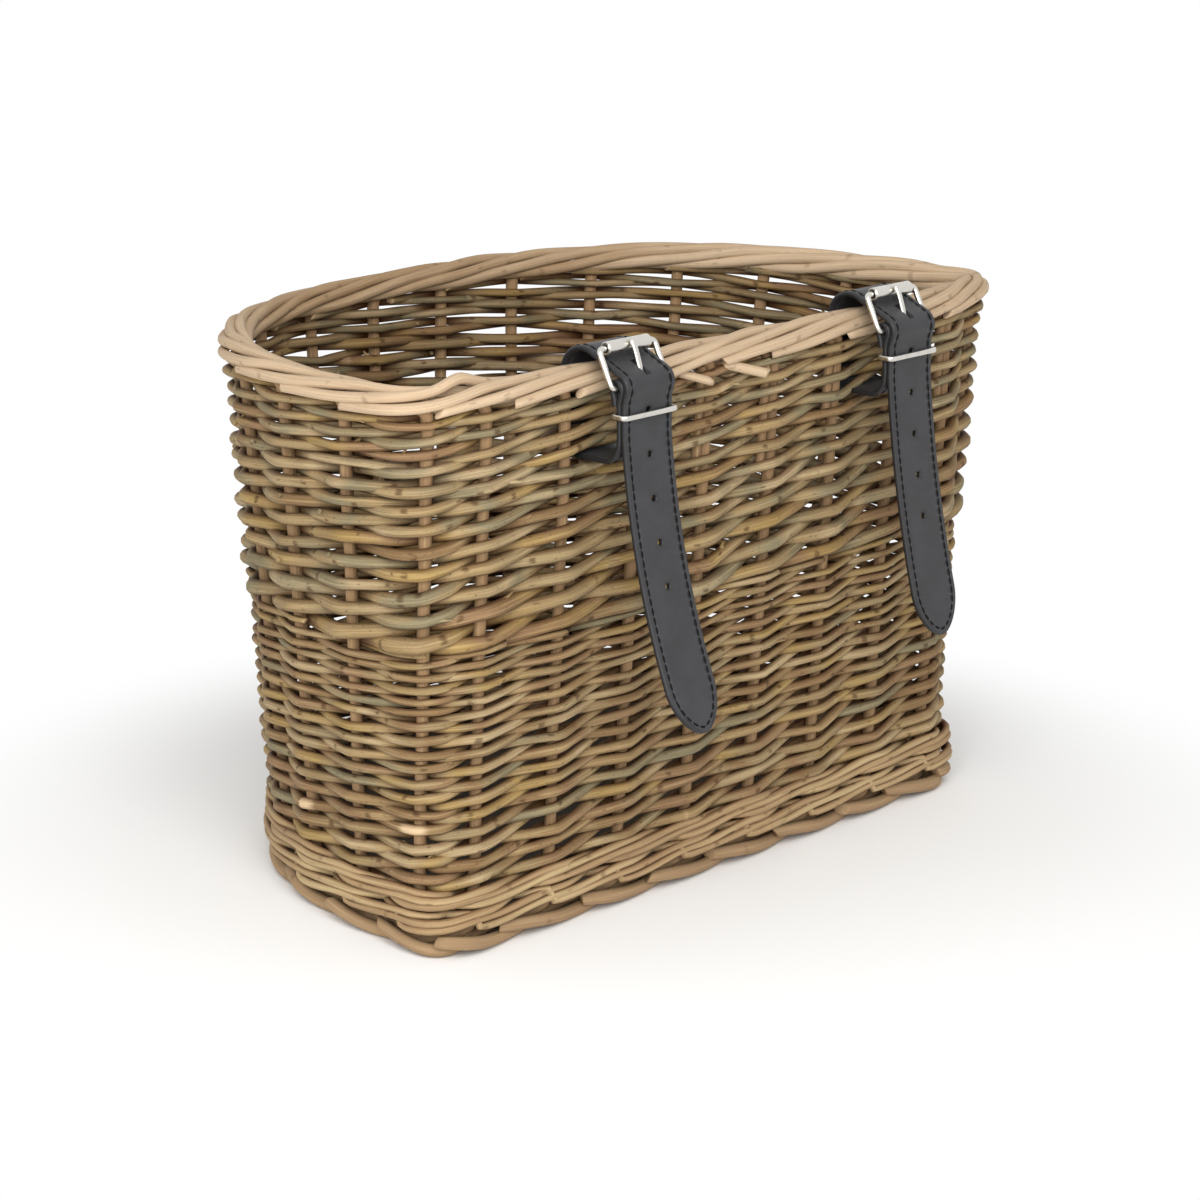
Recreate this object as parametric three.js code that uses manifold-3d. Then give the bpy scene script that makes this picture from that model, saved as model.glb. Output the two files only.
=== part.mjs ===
// A D-shaped willow bicycle basket. Stakes stand in a wooden base board, their feet and tops are turned
// into twisted borders, rods are woven between them, and two leather straps buckle over the rim.
// Millimetres, +Z up. The flat back with the straps faces -Y and the rounded front faces +Y.

import * as THREE from "three";
import { mergeVertices } from "three/addons/utils/BufferGeometryUtils.js";
import Module from "manifold-3d";

// Plan and height, measured on the centre line of the wall
const RIM_TOP = 260;
const BASE_HALF_WIDTH = 172;
const BASE_FRONT = 192;
const BASE_BACK = 15;
const RIM_HALF_WIDTH = 192;
const RIM_FRONT = 195;
const RIM_BACK = 30;

// Roundness of the plan: 2 is an ellipse, higher is squarer
const BASE_FRONT_POWER = 2.45;
const BASE_BACK_POWER = 4.5;
const RIM_FRONT_POWER = 2.6;
const RIM_BACK_POWER = 3;

// Willow rods
const WEAVERS_PER_BAND = 8;
const STAKES_PER_WEAVER = 3;
const BACK_STAKES = 8;
const BACK_PITCH = 44;
const CORNER_PITCH = 28;
const STAKE_DIAMETER = 5.8;
const FOOT_ROD_DIAMETER = 6;
const RIM_ROD_DIAMETER = 6.6;
const WALE_ROD_DIAMETER = 4;
const WEAVER_THICKNESS = 5.2;
const LOWER_ROW_PITCH = 7.4;
const UPPER_ROW_PITCH = 7.4;
const BAND_SPLIT = 136;

// A border rod lies over this many stakes for one full turn of the twist, and its tip is cut short of it
const FOOT_LAY = 2;
const RIM_LAY = 4;
const FOOT_TIP_CUT = 0.5;
const RIM_TIP_CUT = 2 / 3;
const FOOT_FLAT = 0.5;

// Base board
const BOARD_THICKNESS = 6;
const BOARD_MARGIN = 5;

// Leather straps
const STRAP_WIDTH = 30;
const LEATHER = 2.4;
const STRAP_DROP = 29.6;
const STRAP_SLACK = 3.3;
const STRAP_OVER_ANGLE = 24;
const OVER_BEND = 12;
const INSIDE_BEND = 9;
const HOLE_PITCH = 20;
const HOLE_DIAMETER = 4.2;
const TAIL_HOLES = 4;
const TAIL_LENGTH = 128;
const TAIL_START_ANGLE = 5;
const STRAPS = [
  { side: "left", gap: -3, tailAngle: 27 },
  { side: "right", gap: 1, tailAngle: 19 },
];

// Buckles and keepers
const HEEL_STANDOFF = 13;
const BUCKLE_LENGTH = 18;
const BUCKLE_TILT = 63;
const BUCKLE_WIRE = 2.8;
const ROLLER_DIAMETER = 6;
const ROLLER_LENGTH = 26;
const PRONG_WIDTH = 3;
const PRONG_THICKNESS = 2.2;
const PRONG_OVERHANG = 3.2;
const FRAME_SWING = 12;
const PRONG_LIFT = 15;
const PRONG_PLAY = 3;
const KEEPER_WIRE = 2.2;
const KEEPER_DROP = 12;
const TURNED_END = 8;
const TAIL_HINGE_DROP = 21.5;

// Clearances
const GAP = 0.3;
const WEAVE_GAP = 0.5;
const WALE_GAP = 0.8;
const STRAND_GAP = 0.8;
const RUNNING_GAP = 0.4;
const SIDE_GAP = 0.6;
const SLOT_GAP = 1.4;
const SLOT_REACH = 45;

// Facets
const OUTLINE_STEPS = 1440;
const TANGENT_STEP = 0.05;
const WELD = 1e-4;
const ROD_SIDES = 5;
const WEAVER_SIDES = 4;
const WIRE_SIDES = 6;
const FOOT_STEPS = 4;
const RIM_STEPS = 3;
const ROUND_SEGMENTS = 6;
const ROLLER_SIDES = 10;
const HOLE_SEGMENTS = 3;
const BOARD_STEPS_PER_STAKE = 2;
const TAIL_STEPS = 8;
const TIP_STEPS = 5;
const TIP_REACH = THREE.MathUtils.degToRad(82);
const EDGE_STEPS = 2;
const EDGE_REACH = THREE.MathUtils.degToRad(75);
const ARC_STEP = THREE.MathUtils.degToRad(22.5);

// Finishes
const PALE_WILLOW = new THREE.MeshStandardMaterial({ color: 0xc9a479, roughness: 0.65, metalness: 0 });
const TAN_WILLOW = new THREE.MeshStandardMaterial({ color: 0xb2925f, roughness: 0.7, metalness: 0 });
const OLIVE_WILLOW = new THREE.MeshStandardMaterial({ color: 0x7d6f45, roughness: 0.75, metalness: 0 });
const BROWN_WILLOW = new THREE.MeshStandardMaterial({ color: 0x6b5636, roughness: 0.75, metalness: 0 });
const DARK_PLYWOOD = new THREE.MeshStandardMaterial({ color: 0x3d464b, roughness: 0.8, metalness: 0 });
const BLACK_LEATHER = new THREE.MeshStandardMaterial({ color: 0x26282b, roughness: 0.5, metalness: 0 });
const NICKEL = new THREE.MeshStandardMaterial({ color: 0xc4c2bc, roughness: 0.28, metalness: 1 });

// Sizes that follow from the ones above
const STAKE_COUNT = WEAVERS_PER_BAND * STAKES_PER_WEAVER;
const STAKE_RADIUS = STAKE_DIAMETER / 2;
const FOOT_RADIUS = FOOT_ROD_DIAMETER / 2;
const RIM_RADIUS = RIM_ROD_DIAMETER / 2;
const FOOT_TWIST = twistRadius(FOOT_ROD_DIAMETER, FOOT_LAY);
const RIM_TWIST = twistRadius(RIM_ROD_DIAMETER, RIM_LAY);
const FOOT_CENTRE = FOOT_TWIST + FOOT_RADIUS * Math.cos(Math.PI / ROD_SIDES) - FOOT_FLAT;
const BOARD_BOTTOM = FOOT_CENTRE + FOOT_TWIST + FOOT_RADIUS + GAP;
const BOARD_TOP = BOARD_BOTTOM + BOARD_THICKNESS;
const RIM_CENTRE = RIM_TOP - RIM_TWIST - RIM_RADIUS;
const RIM_BOTTOM = RIM_CENTRE - RIM_TWIST - RIM_RADIUS;
const STRAP_INSIDE = RIM_TWIST + RIM_RADIUS + STRAP_SLACK + LEATHER / 2;
const HEEL_OUT = RIM_TWIST + RIM_RADIUS + HEEL_STANDOFF;
const SLOT_LIFT = LEATHER / 2 + SLOT_GAP;
const WALE_STEP = WALE_ROD_DIAMETER + WALE_GAP;
const WALE_CENTRE = BOARD_TOP + GAP + WALE_STEP + WALE_ROD_DIAMETER / 2;
const WALE_TOP = WALE_CENTRE + WALE_STEP + WALE_ROD_DIAMETER / 2;

const UP = new THREE.Vector3(0, 0, 1);
const wasm = await Module();
wasm.setup();

// Strands of one twist lie evenly round its centre, each just clear of the next.
function twistRadius(diameter, strands) {
  return (diameter + STRAND_GAP) / (2 * Math.sin(Math.PI / strands));
}

function toSolid(geometry) {
  const bare = geometry.clone();
  bare.deleteAttribute("normal");
  bare.deleteAttribute("uv");
  const merged = mergeVertices(bare, WELD);
  const vertProperties = merged.attributes.position.array;
  const triVerts = new Uint32Array(merged.index.array);
  return new wasm.Manifold(new wasm.Mesh({ numProp: 3, vertProperties, triVerts }));
}

function toGeometry(solid) {
  const { vertProperties, triVerts } = solid.getMesh();
  const geometry = new THREE.BufferGeometry();
  geometry.setAttribute("position", new THREE.BufferAttribute(new Float32Array(vertProperties), 3));
  geometry.setIndex(new THREE.BufferAttribute(triVerts, 1));
  geometry.computeVertexNormals();
  return geometry;
}

function cut(geometry, tools) {
  return toGeometry(tools.reduce((rest, tool) => rest.subtract(toSolid(tool)), toSolid(geometry)));
}

function join(geometries) {
  return toGeometry(geometries.map(toSolid).reduce((whole, piece) => whole.add(piece)));
}

// A solid skinned over rings of equal size, each counter-clockwise about the way the piece runs.
function loft(rings, closed) {
  const sides = rings[0].length;
  const last = (rings.length - 1) * sides;
  const faces = [];
  for (let i = 0; i < (closed ? rings.length : rings.length - 1); i++) {
    const here = i * sides;
    const next = ((i + 1) % rings.length) * sides;
    for (let k = 0; k < sides; k++) {
      const beside = (k + 1) % sides;
      faces.push(here + k, here + beside, next + beside);
      faces.push(here + k, next + beside, next + k);
    }
  }
  for (let k = 1; k < sides - 1 && !closed; k++) {
    faces.push(0, k + 1, k, last, last + k, last + k + 1);
  }
  const geometry = new THREE.BufferGeometry();
  geometry.setFromPoints(rings.flat());
  geometry.setIndex(faces);
  geometry.computeVertexNormals();
  return geometry;
}

function ovalRing(centre, first, second, sides) {
  const ring = [];
  for (let k = 0; k < sides; k++) {
    const angle = (2 * Math.PI * k) / sides;
    const point = centre.clone().addScaledVector(first, Math.cos(angle));
    ring.push(point.addScaledVector(second, Math.sin(angle)));
  }
  return ring;
}

// A round rod through stations; a station's facing is where the first corner of its section looks.
function rod(stations, sides, closed = false) {
  const count = stations.length;
  const rings = stations.map(({ centre, facing, radius }, i) => {
    const before = closed ? (i + count - 1) % count : Math.max(i - 1, 0);
    const after = closed ? (i + 1) % count : Math.min(i + 1, count - 1);
    const along = stations[after].centre.clone().sub(stations[before].centre).normalize();
    const first = facing.clone().projectOnPlane(along).setLength(radius);
    const second = along.clone().cross(first);
    return ovalRing(centre, first, second, sides);
  });
  return loft(rings, closed);
}

// The plan of the wall: half an ellipse-like curve in front and a flatter one at the back.
function planPoint(plan, angle) {
  const across = Math.cos(angle);
  const forward = Math.sin(angle);
  const power = forward >= 0 ? plan.frontPower : plan.backPower;
  const depth = forward >= 0 ? plan.front : plan.back;
  const x = plan.halfWidth * Math.sign(across) * Math.abs(across) ** (2 / power);
  const y = depth * Math.sign(forward) * Math.abs(forward) ** (2 / power);
  return new THREE.Vector2(x, y);
}

// The plan measured out by length, from the middle of the back round by +X.
function measuredPlan(plan) {
  const points = [];
  const lengths = [0];
  for (let i = 0; i <= OUTLINE_STEPS; i++) {
    points.push(planPoint(plan, (2 * Math.PI * i) / OUTLINE_STEPS - Math.PI / 2));
    if (i > 0) lengths.push(lengths[i - 1] + points[i].distanceTo(points[i - 1]));
  }
  return { points, lengths };
}

// How far round a plan a place lies from the middle of the back. Stakes stand evenly along the back,
// one more stands in each back corner, and the rest are spread evenly round the sides and the front.
function distanceRound(place, perimeter) {
  const halfCount = STAKE_COUNT / 2;
  const fromMiddle = THREE.MathUtils.euclideanModulo(place + 0.5 + halfCount, STAKE_COUNT) - halfCount;
  const stakes = Math.abs(fromMiddle);
  const lastOnBack = (BACK_STAKES - 1) / 2;
  const onBack = Math.min(stakes, lastOnBack);
  const inCorner = THREE.MathUtils.clamp(stakes - lastOnBack, 0, 1);
  const beyond = stakes - onBack - inCorner;
  const corner = lastOnBack * BACK_PITCH + CORNER_PITCH;
  const frontPitch = (perimeter / 2 - corner) / (halfCount - lastOnBack - 1);
  const distance = onBack * BACK_PITCH + inCorner * CORNER_PITCH + beyond * frontPitch;
  return THREE.MathUtils.euclideanModulo(Math.sign(fromMiddle) * distance, perimeter);
}

function planAt({ points, lengths }, place) {
  const target = distanceRound(place, lengths[OUTLINE_STEPS]);
  let low = 0;
  let high = OUTLINE_STEPS;
  while (high - low > 1) {
    const middle = (low + high) >> 1;
    if (lengths[middle] <= target) low = middle;
    else high = middle;
  }
  const part = (target - lengths[low]) / (lengths[high] - lengths[low]);
  return points[low].clone().lerp(points[high], part);
}

const BASE_PLAN = measuredPlan({
  halfWidth: BASE_HALF_WIDTH,
  front: BASE_FRONT,
  back: BASE_BACK,
  frontPower: BASE_FRONT_POWER,
  backPower: BASE_BACK_POWER,
});
const RIM_PLAN = measuredPlan({
  halfWidth: RIM_HALF_WIDTH,
  front: RIM_FRONT,
  back: RIM_BACK,
  frontPower: RIM_FRONT_POWER,
  backPower: RIM_BACK_POWER,
});

// A point on the centre line of the wall. Places along it are counted in stakes, from the first one
// to the right of the middle of the back. The wall leans outwards above the board.
function wallPoint(place, z) {
  const lean = Math.max(0, (z - BOARD_TOP) / (RIM_CENTRE - BOARD_TOP));
  const plan = planAt(BASE_PLAN, place).lerp(planAt(RIM_PLAN, place), lean);
  return new THREE.Vector3(plan.x, plan.y, z);
}

function wallAlong(place, z) {
  return wallPoint(place + TANGENT_STEP, z).sub(wallPoint(place - TANGENT_STEP, z)).normalize();
}

function wallOut(place, z) {
  return wallAlong(place, z).cross(UP).normalize();
}

// Where the centre of a rod passes a stake, with side 1 outside and -1 inside. The rod's straight runs
// to the next stakes have to clear this one, also where the wall turns sharply.
function passing(place, z, reach, side) {
  const here = wallPoint(place, z);
  const into = here.clone().sub(wallPoint(place - 1, z));
  const onward = wallPoint(place + 1, z).sub(here);
  const turn = side > 0 ? into.angleTo(onward) / 2 : 0;
  const zigzag = Math.atan2(2 * reach, Math.min(into.length(), onward.length()));
  const out = into.normalize().add(onward.normalize()).cross(UP).normalize();
  return here.addScaledVector(out, (side * reach) / Math.cos(turn + zigzag));
}

// A place in a twisted border: the strand stands at an angle round the border's centre, 0 outwards.
// A flat of its section looks away from that centre, so that the foot border stands on flats.
function strandStation(place, centreHeight, twist, degrees, radius) {
  const angle = THREE.MathUtils.degToRad(degrees);
  const facing = wallOut(place, centreHeight).multiplyScalar(-Math.cos(angle));
  facing.addScaledVector(UP, -Math.sin(angle));
  const centre = wallPoint(place, centreHeight).addScaledVector(facing, -twist);
  return { centre, facing, radius };
}

// One willow stake: its foot comes back under the base, it stands in the wall, and its top is laid
// down to the left into the rim border. Each turn of a border starts at the stake itself.
function stakeGeometry(index) {
  const stations = [];
  for (let i = Math.round((FOOT_LAY - FOOT_TIP_CUT) * FOOT_STEPS); i > 0; i--) {
    const back = i / FOOT_STEPS;
    const turn = 90 + (360 * back) / FOOT_LAY;
    stations.push(strandStation(index - back, FOOT_CENTRE, FOOT_TWIST, turn, FOOT_RADIUS));
  }
  const right = wallAlong(index, BOARD_TOP);
  const upright = (z, facing) => {
    stations.push({ centre: wallPoint(index, z), facing, radius: STAKE_RADIUS });
  };
  upright(FOOT_CENTRE + FOOT_TWIST, right.clone().sub(UP));
  upright(BOARD_TOP, right);
  upright(RIM_CENTRE - RIM_TWIST - STAKE_DIAMETER, right);
  upright(RIM_CENTRE - RIM_TWIST, right.clone().add(UP));
  for (let i = 1; i <= Math.round((RIM_LAY - RIM_TIP_CUT) * RIM_STEPS); i++) {
    const back = i / RIM_STEPS;
    const turn = -90 - (360 * back) / RIM_LAY;
    stations.push(strandStation(index - back, RIM_CENTRE, RIM_TWIST, turn, RIM_RADIUS));
  }
  const floor = new THREE.BoxGeometry(4 * BASE_HALF_WIDTH, 4 * BASE_FRONT, 2 * FOOT_ROD_DIAMETER);
  floor.translate(0, 0, -FOOT_ROD_DIAMETER);
  return cut(rod(stations, ROD_SIDES), [floor]);
}

function boardGeometry() {
  const shape = new THREE.Shape();
  for (let i = 0; i < STAKE_COUNT * BOARD_STEPS_PER_STAKE; i++) {
    const place = i / BOARD_STEPS_PER_STAKE;
    const edge = wallPoint(place, 0).addScaledVector(wallOut(place, 0), BOARD_MARGIN);
    if (i === 0) shape.moveTo(edge.x, edge.y);
    else shape.lineTo(edge.x, edge.y);
  }
  shape.closePath();
  const holeRadius = (STAKE_RADIUS + GAP) / Math.cos(Math.PI / (2 * HOLE_SEGMENTS));
  for (let i = 0; i < STAKE_COUNT; i++) {
    const { x, y } = wallPoint(i, 0);
    shape.holes.push(new THREE.Path().absarc(x, y, holeRadius, 0, 2 * Math.PI));
  }
  const settings = { depth: BOARD_THICKNESS, bevelEnabled: false, curveSegments: HOLE_SEGMENTS };
  return new THREE.ExtrudeGeometry(shape, settings).translate(0, 0, BOARD_BOTTOM);
}

// Three-rod wale: each rod passes outside two stakes, rising over the others, then inside one.
const WALE_STROKES = [
  { side: 1, rise: -WALE_STEP },
  { side: 1, rise: WALE_STEP },
  { side: -1, rise: 0 },
];

function waleGeometry(index) {
  const reach = STAKE_RADIUS + WALE_ROD_DIAMETER / 2 + GAP;
  const stations = [];
  for (let place = 0; place < STAKE_COUNT; place++) {
    const { side, rise } = WALE_STROKES[(place + index) % WALE_STROKES.length];
    const centre = passing(place, WALE_CENTRE + rise, reach, side);
    stations.push({ centre, facing: UP, radius: WALE_ROD_DIAMETER / 2 });
  }
  return rod(stations, ROD_SIDES, true);
}

// The two bands of weaving. Rods of one band start a few stakes apart and climb together to the right,
// so each passes one stake outside and the next inside, and the rod above it does the opposite.
function weaveBand(start, top, pitch) {
  const halfHeight = (pitch - WEAVE_GAP) / 2;
  const first = start + halfHeight;
  const rows = Math.floor((top - halfHeight - first) / pitch);
  return { first, rows, pitch, halfHeight, end: first + rows * pitch + halfHeight };
}

const LOWER_BAND = weaveBand(WALE_TOP + WEAVE_GAP, BAND_SPLIT, LOWER_ROW_PITCH);
const UPPER_LIMIT = RIM_BOTTOM - WEAVE_GAP - SLOT_LIFT;
const UPPER_BAND = weaveBand(LOWER_BAND.end + WEAVE_GAP, UPPER_LIMIT, UPPER_ROW_PITCH);

// A strap passes between two stakes and between two rows, at the row gap nearest to its drop.
function strapSlotHeight(gap) {
  const betweenRows = 0.5 + (gap + 0.5) / STAKES_PER_WEAVER;
  const wanted = (RIM_CENTRE - STRAP_DROP - UPPER_BAND.first) / UPPER_BAND.pitch;
  const row = Math.round(wanted - betweenRows) + betweenRows;
  return UPPER_BAND.first + UPPER_BAND.pitch * row;
}

// The leather pushes the rods beside it apart, less so the farther they lie above or below it.
function pushedByStraps(place, z) {
  let lift = 0;
  STRAPS.forEach(({ gap }) => {
    const fromLeft = THREE.MathUtils.euclideanModulo(place - gap, STAKE_COUNT);
    const above = z - strapSlotHeight(gap);
    const nearness = 1 - Math.abs(above) / SLOT_REACH;
    if (fromLeft <= 1 && nearness > 0) lift = SLOT_LIFT * nearness * Math.sign(above);
  });
  return z + lift;
}

function weaverGeometry(band, index) {
  const reach = STAKE_RADIUS + WEAVER_THICKNESS / 2 + GAP;
  const rings = [];
  const begin = index * STAKES_PER_WEAVER;
  for (let step = 0; step <= band.rows * STAKES_PER_WEAVER; step++) {
    const place = begin + step;
    const z = pushedByStraps(place, band.first + (step * band.pitch) / STAKES_PER_WEAVER);
    const centre = passing(place, z, reach, step % 2 === 0 ? -1 : 1);
    const tall = UP.clone().multiplyScalar(band.halfHeight);
    const wide = wallOut(place, z).multiplyScalar(WEAVER_THICKNESS / 2);
    rings.push(ovalRing(centre, tall, wide, WEAVER_SIDES));
  }
  return loft(rings, false);
}

// Strap pieces are drawn in side view: out is the distance outwards from the rim's centre line.
const SIDE_VIEW = new THREE.Matrix4().makeBasis(
  new THREE.Vector3(0, -1, 0),
  new THREE.Vector3(0, 0, 1),
  new THREE.Vector3(-1, 0, 0),
);

function sidePoint(out, z, across = 0) {
  return new THREE.Vector3(across, -out, z);
}

function extrudeAcross(shape, width) {
  const settings = { depth: width, bevelEnabled: false, curveSegments: ROUND_SEGMENTS };
  const geometry = new THREE.ExtrudeGeometry(shape, settings);
  return geometry.translate(0, 0, -width / 2).applyMatrix4(SIDE_VIEW);
}

// A line through corners, each rounded to its own radius.
function roundedLine(corners, closed = false) {
  const line = [];
  const count = corners.length;
  corners.forEach(({ at, radius = 0 }, i) => {
    if (radius === 0) {
      line.push(at.clone());
      return;
    }
    const before = corners[(i + count - 1) % count].at;
    const after = corners[(i + 1) % count].at;
    const into = at.clone().sub(before).normalize();
    const onward = after.clone().sub(at).normalize();
    const turn = Math.atan2(into.cross(onward), into.dot(onward));
    const start = at.clone().addScaledVector(into, -radius * Math.tan(Math.abs(turn) / 2));
    const inward = new THREE.Vector2(-into.y, into.x).multiplyScalar(Math.sign(turn) * radius);
    const centre = start.clone().add(inward);
    const steps = Math.ceil(Math.abs(turn) / ARC_STEP);
    for (let k = 0; k <= steps; k++) {
      line.push(start.clone().rotateAround(centre, (turn * k) / steps));
    }
  });
  return closed ? line : line.filter((point, i) => i === 0 || point.distanceTo(line[i - 1]) > GAP);
}

function ribbonShape(line, thickness) {
  const left = [];
  const right = [];
  line.forEach((point, i) => {
    const before = line[Math.max(i - 1, 0)];
    const after = line[Math.min(i + 1, line.length - 1)];
    const along = after.clone().sub(before).normalize();
    const across = new THREE.Vector2(-along.y, along.x).multiplyScalar(thickness / 2);
    left.push(point.clone().add(across));
    right.unshift(point.clone().sub(across));
  });
  return new THREE.Shape([...left, ...right]);
}

// A loop of round wire: a rounded rectangle from 0 to length along one way, centred on the strap.
function wireLoop(halfWidth, length, corner, wire, along, normal) {
  const corners = [
    new THREE.Vector2(-halfWidth, 0),
    new THREE.Vector2(halfWidth, 0),
    new THREE.Vector2(halfWidth, length),
    new THREE.Vector2(-halfWidth, length),
  ];
  const rounded = corners.map((at) => ({ at, radius: corner }));
  const stations = roundedLine(rounded, true).map(({ x, y }) => ({
    centre: sidePoint(0, 0, x).addScaledVector(along, y),
    facing: normal,
    radius: wire / 2,
  }));
  return rod(stations, WIRE_SIDES, true);
}

// Places in the strap's side view
const HEEL = new THREE.Vector2(HEEL_OUT, RIM_CENTRE);
const TILT = THREE.MathUtils.degToRad(BUCKLE_TILT);
const BUCKLE_ALONG = new THREE.Vector2(-Math.cos(TILT), Math.sin(TILT));
const BUCKLE_OUT = new THREE.Vector2(Math.sin(TILT), Math.cos(TILT));
const OVER = THREE.MathUtils.degToRad(STRAP_OVER_ANGLE);
const FOLD_RADIUS = BUCKLE_WIRE / 2 + GAP + LEATHER / 2;
const TURN_RADIUS = FOLD_RADIUS + LEATHER + 2 * RUNNING_GAP;
const PRONG_REST = ROLLER_DIAMETER / 2 + GAP + PRONG_THICKNESS / 2;
const CHAPE_OUT = HEEL_OUT + (LEATHER + GAP) / 2;
const FREE_OUT = CHAPE_OUT + LEATHER + RUNNING_GAP;
const TAIL_HINGE = new THREE.Vector2(FREE_OUT, RIM_CENTRE - TAIL_HINGE_DROP);
const FRAME_HALF_WIDTH = STRAP_WIDTH / 2 + SIDE_GAP + BUCKLE_WIRE / 2;
const KEEPER_HALF_WIDTH = STRAP_WIDTH / 2 + SIDE_GAP + KEEPER_WIRE / 2;

function besideHeel(along, out) {
  return HEEL.clone().addScaledVector(BUCKLE_ALONG, along).addScaledVector(BUCKLE_OUT, out);
}

// The part of the strap that holds: folded over the heel bar, down, through the wall, up inside,
// over the rim, under the roller, over the heel bar again and down to where its tail hangs free.
function strapLine(slotHeight) {
  const overNormal = new THREE.Vector2(Math.sin(OVER), Math.cos(OVER));
  const overHeight = (out) => HEEL.y + (TURN_RADIUS - (out - HEEL.x) * overNormal.x) / overNormal.y;
  const foldTop = HEEL.y + FOLD_RADIUS;
  const turnOut = HEEL.x + TURN_RADIUS;
  const foldEnd = HEEL.y - BUCKLE_WIRE / 2;
  const merge = foldEnd - 2 * LEATHER;
  const chapeBend = 4 * LEATHER;
  const corner = (out, z, radius) => ({ at: new THREE.Vector2(out, z), radius });
  return roundedLine([
    corner(CHAPE_OUT - LEATHER - GAP, HEEL.y - TURNED_END),
    corner(CHAPE_OUT - LEATHER - GAP, merge),
    corner(HEEL.x - FOLD_RADIUS, foldEnd),
    corner(HEEL.x - FOLD_RADIUS, foldTop, FOLD_RADIUS),
    corner(HEEL.x + FOLD_RADIUS, foldTop, FOLD_RADIUS),
    corner(HEEL.x + FOLD_RADIUS, foldEnd),
    corner(CHAPE_OUT, merge),
    corner(CHAPE_OUT, slotHeight, chapeBend),
    corner(-STRAP_INSIDE, slotHeight, INSIDE_BEND),
    corner(-STRAP_INSIDE, overHeight(-STRAP_INSIDE), OVER_BEND),
    corner(turnOut, overHeight(turnOut), TURN_RADIUS),
    corner(turnOut, HEEL.y - GAP),
    corner(FREE_OUT, merge),
    corner(FREE_OUT, TAIL_HINGE.y + LEATHER / 2 + GAP),
  ]);
}

// The prong swings with the frame and by itself, so its slot is a sector round the heel bar.
function prongSlot() {
  const rest = Math.PI - TILT;
  const play = THREE.MathUtils.degToRad(PRONG_PLAY);
  const strapInner = TURN_RADIUS - LEATHER / 2;
  const armFace = PRONG_THICKNESS + ((PRONG_REST - PRONG_THICKNESS / 2) * strapInner) / BUCKLE_LENGTH;
  const spread = Math.atan2(armFace, strapInner);
  const high = rest + play;
  const low = rest - THREE.MathUtils.degToRad(FRAME_SWING + PRONG_LIFT) - spread - play;
  const inner = FOLD_RADIUS + LEATHER / 2 + GAP;
  const outer = TURN_RADIUS * 2;
  const shape = new THREE.Shape();
  shape.absarc(HEEL.x, HEEL.y, outer, low, high, false);
  shape.absarc(HEEL.x, HEEL.y, inner, high, low, true);
  return extrudeAcross(shape, PRONG_WIDTH + 2 * RUNNING_GAP);
}

function foldSlot() {
  const shape = new THREE.Shape();
  shape.absarc(HEEL.x, HEEL.y, FOLD_RADIUS + LEATHER / 2 + GAP / 2, 0, 2 * Math.PI, false);
  return extrudeAcross(shape, PRONG_WIDTH + 2 * RUNNING_GAP);
}

function holePunch(out, z, degrees) {
  const radius = HOLE_DIAMETER / 2;
  const punch = new THREE.CylinderGeometry(radius, radius, LEATHER + 2 * GAP, ROUND_SEGMENTS);
  punch.rotateX(THREE.MathUtils.degToRad(degrees));
  return punch.translate(0, -out, z);
}

function strapGeometry(slotHeight) {
  const band = extrudeAcross(ribbonShape(strapLine(slotHeight), LEATHER), STRAP_WIDTH);
  const keeperHole = holePunch(FREE_OUT, TAIL_HINGE.y + HOLE_PITCH / 2, 0);
  return cut(band, [prongSlot(), foldSlot(), keeperHole]);
}

// The free tail hangs from a round edge, curls outwards by its own spring and ends in a round tip.
function tailGeometry(tailAngle) {
  const startAngle = THREE.MathUtils.degToRad(TAIL_START_ANGLE);
  const endAngle = THREE.MathUtils.degToRad(tailAngle);
  const half = STRAP_WIDTH / 2;
  const edge = LEATHER / 2;
  const tipStart = TAIL_LENGTH - half;
  const angleAt = (distance) => startAngle + ((endAngle - startAngle) * distance) / TAIL_LENGTH;
  const pointAt = (distance) => {
    const point = TAIL_HINGE.clone();
    const step = distance / TAIL_STEPS;
    for (let i = 0; i < TAIL_STEPS; i++) {
      const angle = angleAt((i + 0.5) * step);
      point.add(new THREE.Vector2(Math.sin(angle), -Math.cos(angle)).multiplyScalar(step));
    }
    return point;
  };
  const sections = [];
  const section = (distance, thick, wide) => sections.push({ distance, thick, wide });
  for (let i = EDGE_STEPS; i >= 0; i--) {
    const angle = (EDGE_REACH * i) / EDGE_STEPS;
    section(-edge * Math.sin(angle), edge * Math.cos(angle), half);
  }
  for (let i = 1; i <= TAIL_STEPS; i++) {
    section((tipStart * i) / TAIL_STEPS, edge, half);
  }
  for (let i = 1; i <= TIP_STEPS; i++) {
    const angle = (TIP_REACH * i) / TIP_STEPS;
    section(tipStart + half * Math.sin(angle), edge, half * Math.cos(angle));
  }
  const rings = sections.map(({ distance, thick, wide }) => {
    const centre = pointAt(distance);
    const angle = angleAt(distance);
    const face = new THREE.Vector2(Math.cos(angle), Math.sin(angle)).multiplyScalar(thick);
    return [
      sidePoint(centre.x + face.x, centre.y + face.y, -wide),
      sidePoint(centre.x - face.x, centre.y - face.y, -wide),
      sidePoint(centre.x - face.x, centre.y - face.y, wide),
      sidePoint(centre.x + face.x, centre.y + face.y, wide),
    ];
  });
  const punches = [];
  for (let i = 0; i < TAIL_HOLES; i++) {
    const distance = HOLE_PITCH * (i + 0.5);
    const centre = pointAt(distance);
    punches.push(holePunch(centre.x, centre.y, THREE.MathUtils.radToDeg(angleAt(distance))));
  }
  return cut(loft(rings, false), punches);
}

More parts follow.
